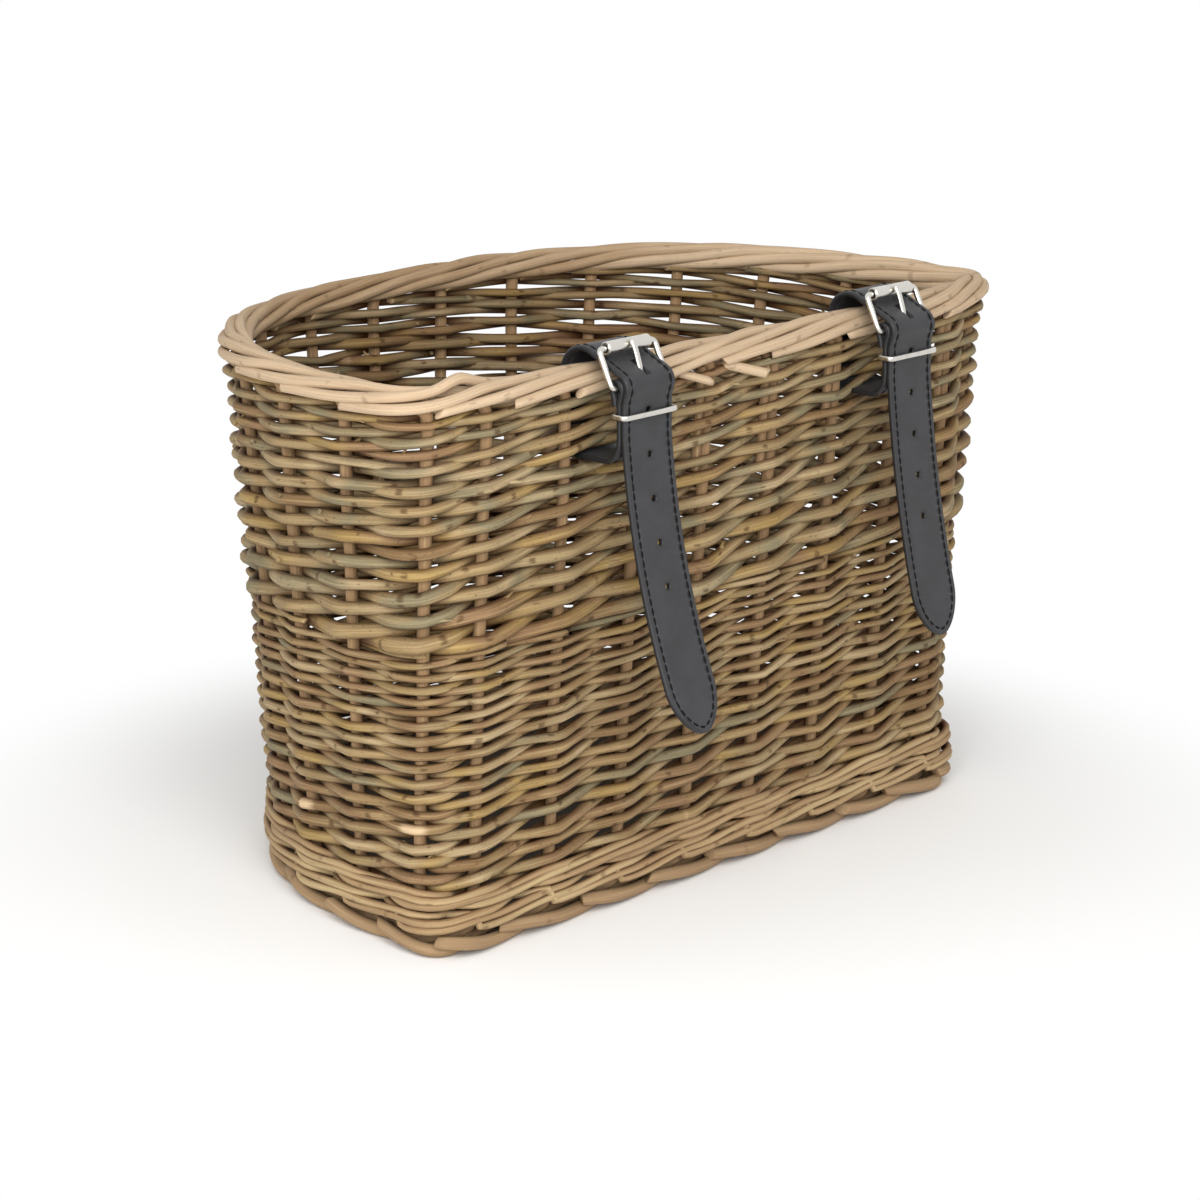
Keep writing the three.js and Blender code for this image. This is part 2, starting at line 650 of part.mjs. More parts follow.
function frameGeometry() {
  const along = sidePoint(BUCKLE_ALONG.x, BUCKLE_ALONG.y);
  const normal = sidePoint(BUCKLE_OUT.x, BUCKLE_OUT.y);
  const corner = FRAME_HALF_WIDTH - STRAP_WIDTH / 2;
  const loop = wireLoop(FRAME_HALF_WIDTH, BUCKLE_LENGTH, corner, BUCKLE_WIRE, along, normal);
  return loop.translate(0, -HEEL.x, HEEL.y);
}

function rollerGeometry() {
  const shape = new THREE.Shape();
  shape.absarc(0, 0, ROLLER_DIAMETER / 2, 0, 2 * Math.PI, false);
  const bore = (BUCKLE_WIRE / 2 + RUNNING_GAP) / Math.cos(Math.PI / ROLLER_SIDES);
  shape.holes.push(new THREE.Path().absarc(0, 0, bore, 0, 2 * Math.PI, true));
  const settings = { depth: ROLLER_LENGTH, bevelEnabled: false, curveSegments: ROLLER_SIDES / 2 };
  const tube = new THREE.ExtrudeGeometry(shape, settings).translate(0, 0, -ROLLER_LENGTH / 2);
  const axis = besideHeel(BUCKLE_LENGTH, 0);
  return tube.applyMatrix4(SIDE_VIEW).translate(0, -axis.x, axis.y);
}

// The prong turns on the heel bar and rests across the roller.
function prongGeometry() {
  const bore = (BUCKLE_WIRE / 2 + RUNNING_GAP) / Math.cos(Math.PI / (2 * ROUND_SEGMENTS));
  const collarRadius = FOLD_RADIUS + LEATHER / 2 - GAP;
  const collar = new THREE.Shape();
  collar.absarc(HEEL.x, HEEL.y, collarRadius, 0, 2 * Math.PI, false);
  const hole = new THREE.Shape();
  hole.absarc(HEEL.x, HEEL.y, bore, 0, 2 * Math.PI, false);
  const arm = roundedLine([
    { at: besideHeel(collarRadius - PRONG_THICKNESS / 2, PRONG_THICKNESS / 2) },
    { at: besideHeel(BUCKLE_LENGTH, PRONG_REST), radius: BUCKLE_LENGTH / 2 },
    { at: besideHeel(BUCKLE_LENGTH + PRONG_OVERHANG, PRONG_REST) },
  ]);
  const whole = join([
    extrudeAcross(collar, PRONG_WIDTH),
    extrudeAcross(ribbonShape(arm, PRONG_THICKNESS), PRONG_WIDTH),
  ]);
  return cut(whole, [extrudeAcross(hole, 2 * PRONG_WIDTH)]);
}

function keeperGeometry() {
  const back = CHAPE_OUT - LEATHER / 2 - RUNNING_GAP - KEEPER_WIRE / 2;
  const front = FREE_OUT + LEATHER / 2 + RUNNING_GAP + KEEPER_WIRE / 2;
  const corner = KEEPER_HALF_WIDTH - STRAP_WIDTH / 2;
  const loop = wireLoop(KEEPER_HALF_WIDTH, front - back, corner, KEEPER_WIRE, sidePoint(1, 0), UP);
  return loop.translate(0, -back, RIM_CENTRE - KEEPER_DROP);
}

function addPiece(parent, name, geometry, material) {
  const mesh = new THREE.Mesh(geometry, material);
  mesh.name = name;
  parent.add(mesh);
}

const basket = new THREE.Group();
addPiece(basket, "base_board", boardGeometry(), DARK_PLYWOOD);
for (let i = 0; i < STAKE_COUNT; i++) {
  addPiece(basket, `stake_${String(i + 1).padStart(2, "0")}`, stakeGeometry(i), PALE_WILLOW);
}
for (let i = 0; i < WALE_STROKES.length; i++) {
  addPiece(basket, `wale_rod_${i + 1}`, waleGeometry(i), TAN_WILLOW);
}
for (let i = 0; i < WEAVERS_PER_BAND; i++) {
  addPiece(basket, `lower_weaver_${i + 1}`, weaverGeometry(LOWER_BAND, i), OLIVE_WILLOW);
  addPiece(basket, `upper_weaver_${i + 1}`, weaverGeometry(UPPER_BAND, i), BROWN_WILLOW);
}
STRAPS.forEach(({ side, gap, tailAngle }) => {
  const assembly = new THREE.Group();
  const seat = wallPoint(gap + 0.5, RIM_CENTRE);
  assembly.position.set(seat.x, seat.y, 0);
  addPiece(assembly, `${side}_strap`, strapGeometry(strapSlotHeight(gap)), BLACK_LEATHER);
  addPiece(assembly, `${side}_strap_tail`, tailGeometry(tailAngle), BLACK_LEATHER);
  addPiece(assembly, `${side}_buckle_frame`, frameGeometry(), NICKEL);
  addPiece(assembly, `${side}_buckle_roller`, rollerGeometry(), NICKEL);
  addPiece(assembly, `${side}_buckle_prong`, prongGeometry(), NICKEL);
  addPiece(assembly, `${side}_strap_keeper`, keeperGeometry(), NICKEL);
  basket.add(assembly);
});

// The origin is on the floor under the middle of the whole part.
const extent = new THREE.Box3().setFromObject(basket, true);
const middle = extent.getCenter(new THREE.Vector3());
basket.position.set(-middle.x, -middle.y, -extent.min.z);

const part = new THREE.Group();
part.add(basket);

export default part;
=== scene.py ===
import math

import bmesh
import bpy
import numpy as np
from bpy.props import EnumProperty, FloatProperty, FloatVectorProperty, IntProperty, PointerProperty
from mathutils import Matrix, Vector


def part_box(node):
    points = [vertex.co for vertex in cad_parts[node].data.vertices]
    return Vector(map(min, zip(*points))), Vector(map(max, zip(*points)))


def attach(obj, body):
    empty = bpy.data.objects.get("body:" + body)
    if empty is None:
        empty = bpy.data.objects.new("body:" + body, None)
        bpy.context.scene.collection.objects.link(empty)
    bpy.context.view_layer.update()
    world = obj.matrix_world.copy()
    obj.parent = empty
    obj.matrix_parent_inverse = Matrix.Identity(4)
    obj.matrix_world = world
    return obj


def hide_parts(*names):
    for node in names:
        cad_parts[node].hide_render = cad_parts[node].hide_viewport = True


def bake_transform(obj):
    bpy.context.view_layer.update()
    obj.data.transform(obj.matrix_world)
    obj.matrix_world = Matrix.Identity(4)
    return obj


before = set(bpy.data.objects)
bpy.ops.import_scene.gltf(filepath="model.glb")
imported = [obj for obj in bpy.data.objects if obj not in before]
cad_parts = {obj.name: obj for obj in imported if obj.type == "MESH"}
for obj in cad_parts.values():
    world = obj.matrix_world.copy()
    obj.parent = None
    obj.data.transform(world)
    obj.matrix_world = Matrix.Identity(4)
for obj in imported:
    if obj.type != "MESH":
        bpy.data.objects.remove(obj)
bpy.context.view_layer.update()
BOARD_LOW, BOARD_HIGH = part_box("base_board")

bl_info = {
    "name": "Willow bicycle basket",
    "version": (1, 0, 0),
    "blender": (4, 5, 0),
    "location": "View3D > Sidebar > Basket",
    "description": "Weaves a willow bicycle basket round its packed frame, with straps and nickel buckles",
    "category": "Object",
}

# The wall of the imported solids, in metres, measured on its centre line. A place on it is counted in stakes.
STAKES = 24
BACK_MIDDLE = -0.5
BACK_PITCH = 0.044
CORNER_PITCH = 0.028
LAST_ON_BACK = 3.5
CORNERS = (-4.35, 3.35)
CORNER_SPREAD = 0.55
BASE_BACK = 0.015
BOARD_MARGIN = 0.005
BOARD_TOP = BOARD_HIGH.z
RIM_CENTRE = 0.2514674
SHIFT = np.array([(BOARD_LOW.x + BOARD_HIGH.x) / 2, BOARD_LOW.y + BASE_BACK + BOARD_MARGIN])
UP = np.array([0.0, 0.0, 1.0])
ACROSS = np.array([1.0, 0.0, 0.0])

# The borders: how far their strands stand out and up from the middle, how many stakes each strand lies
# over, and how many degrees it turns on the way from one stake to the next.
RIM_OVAL = (0.0059, 0.0056)
RIM_LAY = 6.0
RIM_TURN = 52.0
FOOT_CENTRE = 0.0063
FOOT_OVAL = (0.0052, 0.0030)
FOOT_LAY = 2.6
FOOT_TURN = 120.0

# The straps in side view: out is the distance outwards from the rim's centre line.
STRAP_PLACES = {"left": -2.5, "right": 1.5}
LEATHER = 0.0024
STRAP_HALF = 0.015
TIP_LENGTH = 0.021
STRAP_INSIDE = 0.0112
HEEL = np.array([0.0215326, RIM_CENTRE])
FOLD_RADIUS = 0.0029
TURN_RADIUS = 0.0061
CHAPE_OUT = 0.0228826
FREE_OUT = 0.0256826
OVER_ANGLE = math.radians(24)
TAIL_HINGE = np.array([FREE_OUT, RIM_CENTRE - 0.0215])
TAIL_LENGTHS = {"left": 0.133, "right": 0.124}
TAIL_START = math.radians(5)
TAIL_ENDS = {"left": math.radians(26), "right": math.radians(17)}
HOLE_PITCH = 0.0195
FIRST_HOLE = 5 / 12
TAIL_HOLES = 4
BUCKLE_TILT = math.radians(63)
BUCKLE_LENGTH = 0.018
KEEPER_BACK = 0.02018
KEEPER_FRONT = 0.02838
KEEPER_DROP = 0.012
SIDES = tuple(STRAP_PLACES)


def tone(code):
    """A colour written as six hex digits, as linear light."""
    parts = [int(code[i:i + 2], 16) / 255 for i in (0, 2, 4)]
    return tuple(c / 12.92 if c <= 0.04045 else ((c + 0.055) / 1.055) ** 2.4 for c in parts)


def number(name, description, default, **limits):
    """A number for a panel."""
    return FloatProperty(name=name, description=description, default=default, **limits)


def whole(name, description, default, **limits):
    """A whole number for a panel."""
    return IntProperty(name=name, description=description, default=default, **limits)


def length(name, description, default):
    """A size in metres for a panel."""
    return number(name, description, default, min=0.0, unit="LENGTH", precision=4)


def share(name, description, default):
    """A share from 0 to 1 for a panel."""
    return number(name, description, default, min=0.0, max=1.0, subtype="FACTOR")


def colour(name, description, code):
    """A colour for a panel."""
    return FloatVectorProperty(name=name, description=description, default=tone(code), min=0.0, max=1.0,
                               size=3, subtype="COLOR")


class WillowSizes(bpy.types.PropertyGroup):
    """Thicknesses and counts of the willow rods."""

    stake: length("Stake", "Thickness of an upright stake", 0.0058)
    side_stake: length("Side stake", "Thickness of the thin rod pushed in beside a back stake", 0.0045)
    foot_rod: length("Foot rod", "Thickness of a stake where it is turned into the foot border", 0.0063)
    rim_rod: length("Rim rod", "Thickness of a stake where it is laid into the rim border", 0.0057)
    wale_rod: length("Wale rod", "Thickness of the rods of the wale above the board", 0.0037)
    lower_butt: length("Lower butt", "Row height at the thick end of the lower rods", 0.0047)
    lower_tip: length("Lower tip", "Row height at the thin end of the lower rods", 0.0028)
    lower_start: length("Lower start", "Height at which the lower weave starts", 0.0305)
    lower_rows: whole("Lower rows", "Rows in the lower weave", 33, min=4)
    lower_fullness: number("Lower fullness", "Thickness of a lower rod against its row's height",
                           1.32, min=0.5, max=1.6)
    lower_dip: number("Lower dip", "How many rows a lower rod dips outside a back stake",
                      0.4, min=0.0, max=2.0)
    upper_butt: length("Upper butt", "Row height at the thick end of the upper rods", 0.0060)
    upper_tip: length("Upper tip", "Row height at the thin end of the upper rods", 0.0034)
    upper_start: length("Upper start", "Height at which the upper weave starts", 0.1400)
    upper_rows: whole("Upper rows", "Rows in the upper weave", 24, min=4)
    upper_top: length("Upper top", "Height at which the weaving ends under the rim", 0.2470)
    upper_fullness: number("Upper fullness", "Thickness of an upper rod against its row's height",
                           1.22, min=0.5, max=1.6)
    upper_dip: number("Upper dip", "How many rows an upper rod dips outside a back stake",
                      0.15, min=0.0, max=2.0)
    seed: whole("Seed", "Starting number of the irregularities of the rods", 7)


class WillowColours(bpy.types.PropertyGroup):
    """Colours of bark, peeled wood, painted crevice shade and the base board."""

    olive: colour("Olive bark", "Olive-buff bark of most of the weave", "988460")
    gold: colour("Golden bark", "Golden bark", "a08860")
    mustard: colour("Mustard bark", "Yellow bark of a few stretches", "a18753")
    straw: colour("Straw bark", "Palest bark", "b09b77")
    brown: colour("Brown bark", "Brown bark", "896e4b")
    red: colour("Reddish bark", "Reddish bark of some rods", "8d7050")
    slate: colour("Slate bark", "Dark grey-green bark of some rods", "857c60")
    knot: colour("Knot", "Dark marks where buds sat", "44290f")
    # Painted shade: a dark brown multiplied into the crevices between rods, where less light falls.
    soil: colour("Soil", "Dark brown that is left in the crevices", "83592c")
    peeled: colour("Peeled wood", "Cream wood where the bark is off", "c0aa80")
    upright: colour("Upright stake", "Stakes in the wall", "9e7f5c")
    foot: colour("Foot border", "Rods of the foot border", "9f8362")
    rim: colour("Rim border", "Rods of the rim border", "bfa78a")
    wale: colour("Wale", "Rods of the wale", "a98d68")
    board: colour("Base board", "Stained plywood of the base", "41382d")


class StrapLooks(bpy.types.PropertyGroup):
    """Leather and thread of the straps."""

    leather: colour("Leather", "Dyed leather", "2a2a2c")
    worn: colour("Worn leather", "Leather where the dye is rubbed", "3c3c3f")
    thread: colour("Thread", "Waxed thread of the stitching", "070708")
    stitch: length("Stitch", "Length of one stitch with its gap", 0.0042)
    groove: length("Groove", "Depth of the groove that the stitches lie in", 0.00045)
    hole: length("Hole", "Diameter of the punched holes", 0.0027)


class MetalLooks(bpy.types.PropertyGroup):
    """Nickel of the buckles and keepers."""

    nickel: colour("Nickel", "Plated steel", "d6d3cc")
    polish: share("Roughness", "Roughness of the plating", 0.26)
    frame_wire: length("Frame wire", "Thickness of the buckle frame's wire", 0.0028)
    keeper_wire: length("Keeper wire", "Height of the keeper's flattened wire", 0.0025)
    roller: length("Roller", "Outside diameter of the roller", 0.0060)
    roller_length: length("Roller length", "Length of the roller", 0.0260)
    prong: length("Prong", "Width of the prong", 0.0028)


class StageLooks(bpy.types.PropertyGroup):
    """Camera, floor and lamps."""

    azimuth: number("Azimuth", "Turn of the camera round the basket",
                    math.radians(-44.65), subtype="ANGLE")
    elevation: number("Elevation", "Height of the camera above the horizon",
                      math.radians(14.95), subtype="ANGLE")
    distance: length("Distance", "Distance of the camera from the basket's middle", 1.7073)
    lens: number("Lens", "Focal length on a 36 mm sensor", 105.9, subtype="DISTANCE_CAMERA")
    floor: colour("Floor", "Pale floor", "fbfbfa")
    sky: number("Sky light", "Level of the even light from all round", 0.58, min=0.0)
    key: number("Key lamp", "Power of the large lamp above", 26.0, min=0.0, subtype="POWER")
    fill: number("Fill lamp", "Power of the lamp near the camera", 9.0, min=0.0, subtype="POWER")


class Shade:
    """A socket in a finish, so that shader maths reads as plain arithmetic."""

    def __init__(self, finish, socket):
        self.finish = finish
        self.socket = socket

    def maths(self, operation, first, second, clamp=False):
        settings = {"operation": operation, "use_clamp": clamp}
        return self.finish.node("ShaderNodeMath", settings, {0: first, 1: second})

    def __add__(self, other):
        return self.maths("ADD", self, other)

    def __radd__(self, other):
        return self.maths("ADD", other, self)

    def __sub__(self, other):
        return self.maths("SUBTRACT", self, other)

    def __rsub__(self, other):
        return self.maths("SUBTRACT", other, self)

    def __mul__(self, other):
        return self.maths("MULTIPLY", self, other)

    def __rmul__(self, other):
        return self.maths("MULTIPLY", other, self)

    def clamped(self):
        return self.maths("ADD", self, 0.0, clamp=True)


class Finish:
    """A node tree under construction, with the few nodes that the finishes share."""

    def __init__(self, tree):
        self.tree = tree
        tree.nodes.clear()

    @classmethod
    def material(cls, name):
        made = bpy.data.materials.new(name)
        made.use_nodes = True
        finish = cls(made.node_tree)
        finish.made = made
        return finish

    def node(self, kind, settings, sockets, output=0):
        """Adds a node of a type, sets its settings first and then its sockets' values or links."""
        made = self.tree.nodes.new(kind)
        for name, value in settings.items():
            if name == "stops":
                self.set_stops(made.color_ramp.elements, value)
            else:
                setattr(made, name, value)
        for key, value in sockets.items():
            if isinstance(value, Shade):
                self.tree.links.new(value.socket, made.inputs[key])
            else:
                made.inputs[key].default_value = value
        return Shade(self, made.outputs[output]) if made.outputs else None

    @staticmethod
    def set_stops(elements, stops):
        while len(elements) < len(stops):
            elements.new(1.0)
        for element, (place, value) in zip(elements, stops):
            element.position = place
            element.color = rgba(value)

    def attribute(self, name, output="Fac"):
        return self.node("ShaderNodeAttribute", {"attribute_name": name}, {}, output)

    def stretched(self, vector, scale):
        return self.node("ShaderNodeVectorMath", {"operation": "MULTIPLY"}, {0: vector, 1: scale})

    def noise(self, vector, scale=1.0, detail=3.0, roughness=0.55):
        sockets = {"Vector": vector, "Scale": scale, "Detail": detail, "Roughness": roughness}
        return self.node("ShaderNodeTexNoise", {}, sockets)

    def ramp(self, value, stops):
        return self.node("ShaderNodeValToRGB", {"stops": stops}, {"Fac": value})

    def band(self, value, low, high):
        """0 below low, 1 above high, smooth between; the other way round when low is above high."""
        sockets = {"Value": value, "From Min": low, "From Max": high}
        return self.node("ShaderNodeMapRange", {"interpolation_type": "SMOOTHSTEP"}, sockets)

    def mix(self, factor, first, second, blend="MIX"):
        settings = {"data_type": "RGBA", "blend_type": blend}
        return self.node("ShaderNodeMix", settings, {0: factor, 6: first, 7: second}, 2)

    def bump(self, height, strength, distance):
        return self.node("ShaderNodeBump", {}, {"Strength": strength, "Distance": distance, "Height": height})

    def surface(self, sockets):
        shader = self.node("ShaderNodeBsdfPrincipled", {}, sockets)
        self.node("ShaderNodeOutputMaterial", {}, {"Surface": shader})
        return self.made


def rgba(value):
    """A grey number or a colour as four numbers."""
    if isinstance(value, (int, float)):
        return (value, value, value, 1.0)
    return (*tuple(value)[:3], 1.0)


def willow_finish(name, stops, depth=0.00025, spread=0.34, marks=1.0):
    """Willow rods: streaks along the rod, mottling, broken marks at the buds, cream wood where it is cut."""
    tones = bpy.context.scene.basket_colours
    finish = Finish.material(name)
    grain = finish.attribute("grain", "Vector")
    bare = finish.attribute("bare")
    mottle = finish.noise(finish.stretched(grain, (34.0, 150.0, 150.0)), detail=4.0)
    streak = finish.noise(finish.stretched(grain, (30.0, 1300.0, 1300.0)), detail=3.0, roughness=0.6)
    speck = finish.noise(finish.stretched(grain, (520.0, 900.0, 900.0)), detail=2.0)
    patch = finish.noise(finish.stretched(grain, (70.0, 420.0, 420.0)), detail=2.0)
    pick = finish.attribute("tint") + (mottle - 0.5) * spread
    bark = finish.ramp(pick, stops)
    dark = finish.band(streak, 0.60, 0.36) * (0.2 + 0.3 * marks)
    bark = finish.mix(dark, bark, (0.46, 0.38, 0.29, 1.0), "MULTIPLY")
    pale = finish.band(streak, 0.56, 0.74) * 0.35
    bark = finish.mix(pale, bark, rgba(tones.peeled))
    bark = finish.mix(finish.band(speck, 0.62, 0.72) * (0.5 * marks), bark, rgba(tones.knot))
    along = finish.node("ShaderNodeSeparateXYZ", {}, {0: grain}, 0)
    settings = {"voronoi_dimensions": "1D"}
    bud = finish.node("ShaderNodeTexVoronoi", settings, {"W": along, "Scale": 21.0, "Randomness": 1.0})
    ring = finish.band(bud, 0.05, 0.012) * finish.band(patch, 0.50, 0.60)
    bark = finish.mix(ring * (0.15 + 0.5 * marks), bark, rgba(tones.knot))
    pith = finish.mix(finish.band(mottle, 0.35, 0.7), rgba(tones.peeled), (0.62, 0.45, 0.27, 1.0))
    base = finish.mix(finish.band(bare + (streak - 0.5) * 0.5, 0.4, 0.75), bark, pith)
    # Painted shade: the crevice colour multiplied in where rods face each other, the rods behind them and the
    # inside.
    soil = finish.attribute("soil") * (0.7 + mottle * 0.6)
    base = finish.mix(soil.clamped(), base, rgba(tones.soil), "MULTIPLY")
    rough = 0.58 + streak * 0.25 + ring * 0.1
    height = streak * 0.55 + mottle * 0.4 + ring * 0.8 - speck * 0.15
    return finish.surface({
        "Base Color": base,
        "Roughness": rough,
        "Specular IOR Level": 0.28,
        "Normal": finish.bump(height, 0.7, depth),
    })


def weave_stops(order):
    """Stops that pick one of the bark colours by a rod's own number."""
    tones = bpy.context.scene.basket_colours
    return [(i / (len(order) - 1), getattr(tones, name)) for i, name in enumerate(order)]


def leather_finish():
    """Dyed strap leather: fine pores, soft creases, rubbed patches, dark cut edges, painted shade in stitch
    grooves.
    """
    looks = bpy.context.scene.basket_straps
    finish = Finish.material("strap_leather")
    grain = finish.attribute("grain", "Vector")
    edge = finish.attribute("edge")
    pores = finish.node("ShaderNodeTexVoronoi", {}, {"Vector": grain, "Scale": 1500.0})
    cloud = finish.noise(grain, 60.0, 4.0)
    crease = finish.noise(finish.stretched(grain, (260.0, 45.0, 90.0)), detail=3.0)
    base = finish.mix(finish.band(cloud, 0.3, 0.75) * 0.5, rgba(looks.leather), rgba(looks.worn))
    base = finish.mix(finish.band(crease, 0.58, 0.72) * 0.25, base, rgba(looks.worn))
    # Cut edges turn to the thread's colour, and so do the stitch grooves as painted shade.
    base = finish.mix(edge * 0.75, base, rgba(looks.thread))
    rough = 0.36 + cloud * 0.16 + pores * 0.1
    height = pores * 0.5 + crease * 0.6 + cloud * 0.3
    return finish.surface({
        "Base Color": base,
        "Roughness": rough,
        "Specular IOR Level": 0.45,
        "Normal": finish.bump(height, 0.35, 0.00015),
    })


def thread_finish():
    """Waxed thread with its twist."""
    looks = bpy.context.scene.basket_straps
    finish = Finish.material("waxed_thread")
    grain = finish.attribute("grain", "Vector")
    twist = finish.noise(finish.stretched(grain, (2600.0, 1600.0, 1600.0)), detail=2.0)
    base = finish.mix(finish.band(twist, 0.35, 0.65), rgba(looks.thread), (0.008, 0.008, 0.009, 1.0))
    return finish.surface({
        "Base Color": base,
        "Roughness": 0.7 + twist * 0.2,
        "Specular IOR Level": 0.15,
        "Normal": finish.bump(twist, 0.4, 0.0001),
    })


def nickel_finish():
    """Nickel plating with faint drawing lines, dulled a little in places."""
    looks = bpy.context.scene.basket_metal
    finish = Finish.material("nickel_plate")
    grain = finish.attribute("grain", "Vector")
    dull = finish.noise(grain, 240.0, 4.0)
    lines = finish.noise(finish.stretched(grain, (70.0, 4200.0, 4200.0)), detail=2.0)
    base = finish.mix(finish.band(dull, 0.5, 0.75) * 0.35, rgba(looks.nickel), (0.42, 0.40, 0.36, 1.0))
    return finish.surface({
        "Base Color": base,
        "Metallic": 1.0,
        "Roughness": looks.polish - 0.08 + dull * 0.12 + lines * 0.06,
        "Normal": finish.bump(lines * 0.6 + dull * 0.4, 0.2, 0.00005),
    })


def plywood_finish():
    """Stained plywood: plies along the edge and long grain on the faces."""
    tones = bpy.context.scene.basket_colours
    finish = Finish.material("stained_plywood")
    grain = finish.attribute("grain", "Vector")
    figure = finish.noise(finish.stretched(grain, (9.0, 150.0, 20.0)), detail=5.0, roughness=0.6)
    pores = finish.noise(finish.stretched(grain, (60.0, 1400.0, 60.0)), detail=2.0)
    height = finish.node("ShaderNodeSeparateXYZ", {}, {0: grain}, 2)
    two_plies = 0.0024
    turns = height * (2 * math.pi / two_plies) + figure * 2.0
    plies = finish.node("ShaderNodeMath", {"operation": "SINE"}, {0: turns})
    board = rgba(tones.board)
    dark = rgba([c * 0.5 for c in tones.board])
    pale = rgba([min(1.0, c * 1.7 + 0.01) for c in tones.board])
    base = finish.mix(finish.band(figure, 0.35, 0.65), dark, pale)
    base = finish.mix(finish.band(pores, 0.58, 0.7) * 0.6, base, dark)
    base = finish.mix(0.5, base, board)
    edge = finish.attribute("edge")
    base = finish.mix(edge * finish.band(plies, -0.2, 0.6) * 0.7, base, pale)
    return finish.surface({
        "Base Color": base,
        "Roughness": 0.62 + figure * 0.2,
        "Normal": finish.bump(figure * 0.5 + pores * 0.5, 0.4, 0.0003),
    })


def smooth(part):
    """A share from 0 to 1 that starts and ends gently."""
    return part * part * (3 - 2 * part)


def stakes_from(spot, place):
    """How many stakes a place is from a spot, by the shorter way round."""
    return (place - spot + STAKES / 2) % STAKES - STAKES / 2


def measured_plan(half_width, front, back, front_power, back_power):
    """The plan of the wall and the length along it, from the middle of the back round by +X."""
    quarter_steps = 360
    angle = np.linspace(-0.5 * np.pi, 1.5 * np.pi, 4 * quarter_steps + 1)
    across, forward = np.cos(angle), np.sin(angle)
    power = np.where(forward >= 0, front_power, back_power)
    depth = np.where(forward >= 0, front, back)
    x = half_width * np.sign(across) * np.abs(across) ** (2 / power)
    y = depth * np.sign(forward) * np.abs(forward) ** (2 / power)
    run = np.concatenate([[0.0], np.cumsum(np.hypot(np.diff(x), np.diff(y)))])
    return x, y, run


BASE_PLAN = measured_plan(half_width=0.172, front=0.192, back=BASE_BACK, front_power=2.45, back_power=4.5)
RIM_PLAN = measured_plan(half_width=0.192, front=0.195, back=0.030, front_power=2.6, back_power=3.0)


def plan_at(plan, place):
    """A point of a plan at a place counted in stakes."""
    x, y, run = plan
    from_middle = stakes_from(BACK_MIDDLE, place)
    stakes = np.abs(from_middle)
    on_back = np.minimum(stakes, LAST_ON_BACK)
    in_corner = np.clip(stakes - LAST_ON_BACK, 0.0, 1.0)
    corner = LAST_ON_BACK * BACK_PITCH + CORNER_PITCH
    front_pitch = (run[-1] / 2 - corner) / (STAKES / 2 - LAST_ON_BACK - 1)
    distance = on_back * BACK_PITCH + in_corner * CORNER_PITCH + (stakes - on_back - in_corner) * front_pitch
    distance = (np.sign(from_middle) * distance) % run[-1]
    return np.stack([np.interp(distance, run, x), np.interp(distance, run, y)], axis=-1)


def wall(place, z):
    """Points on the centre line of the wall, which leans outwards above the board."""
    place, z = np.broadcast_arrays(np.asarray(place, float), np.asarray(z, float))
    lean = np.maximum(0.0, (z - BOARD_TOP) / (RIM_CENTRE - BOARD_TOP))[..., None]
    plan = plan_at(BASE_PLAN, place) * (1 - lean) + plan_at(RIM_PLAN, place) * lean + SHIFT
    return np.concatenate([plan, z[..., None]], axis=-1)


def wall_out(place, z):
    """The way out of the basket at places on the wall."""
    place = np.asarray(place, float)
    beside = 0.06
    along = wall(place + beside, z) - wall(place - beside, z)
    out = np.stack([along[..., 1], -along[..., 0], np.zeros_like(along[..., 0])], axis=-1)
    return out / np.linalg.norm(out, axis=-1, keepdims=True)


def beside_wall(place, z, out):
    """Points at a distance out from the wall's centre line."""
    return wall(place, z) + wall_out(place, z) * np.asarray(out)[..., None]


def run_of(path):
    """The length along a path at each of its points."""
    return np.concatenate([[0.0], np.cumsum(np.linalg.norm(np.diff(path, axis=0), axis=1))])


def eased(path, step, passes):
    """A path set out in even steps, with its sharp bends rounded."""
    run = run_of(path)
    even = np.linspace(0.0, run[-1], max(3, int(run[-1] / step) + 1))
    path = np.stack([np.interp(even, run, part) for part in path.T], axis=-1)
    for _ in range(passes):
        path[1:-1] = 0.25 * path[:-2] + 0.5 * path[1:-1] + 0.25 * path[2:]
    return path


def ripple(rng, steps, waves):
    """A smooth irregular line between about -1 and 1."""
    total = np.zeros_like(steps)
    for wave in waves:
        total += np.sin(2 * np.pi * (steps / wave * rng.uniform(0.8, 1.25) + rng.uniform()))
    return total / len(waves)


def carried_sides(along, side):
    """A sideways direction at each point of a rod, carried along it without twisting."""
    carried = []
    for here in along:
        side = side - here * (side @ here)
        side = side / np.linalg.norm(side)
        carried.append(side)
    return np.array(carried)


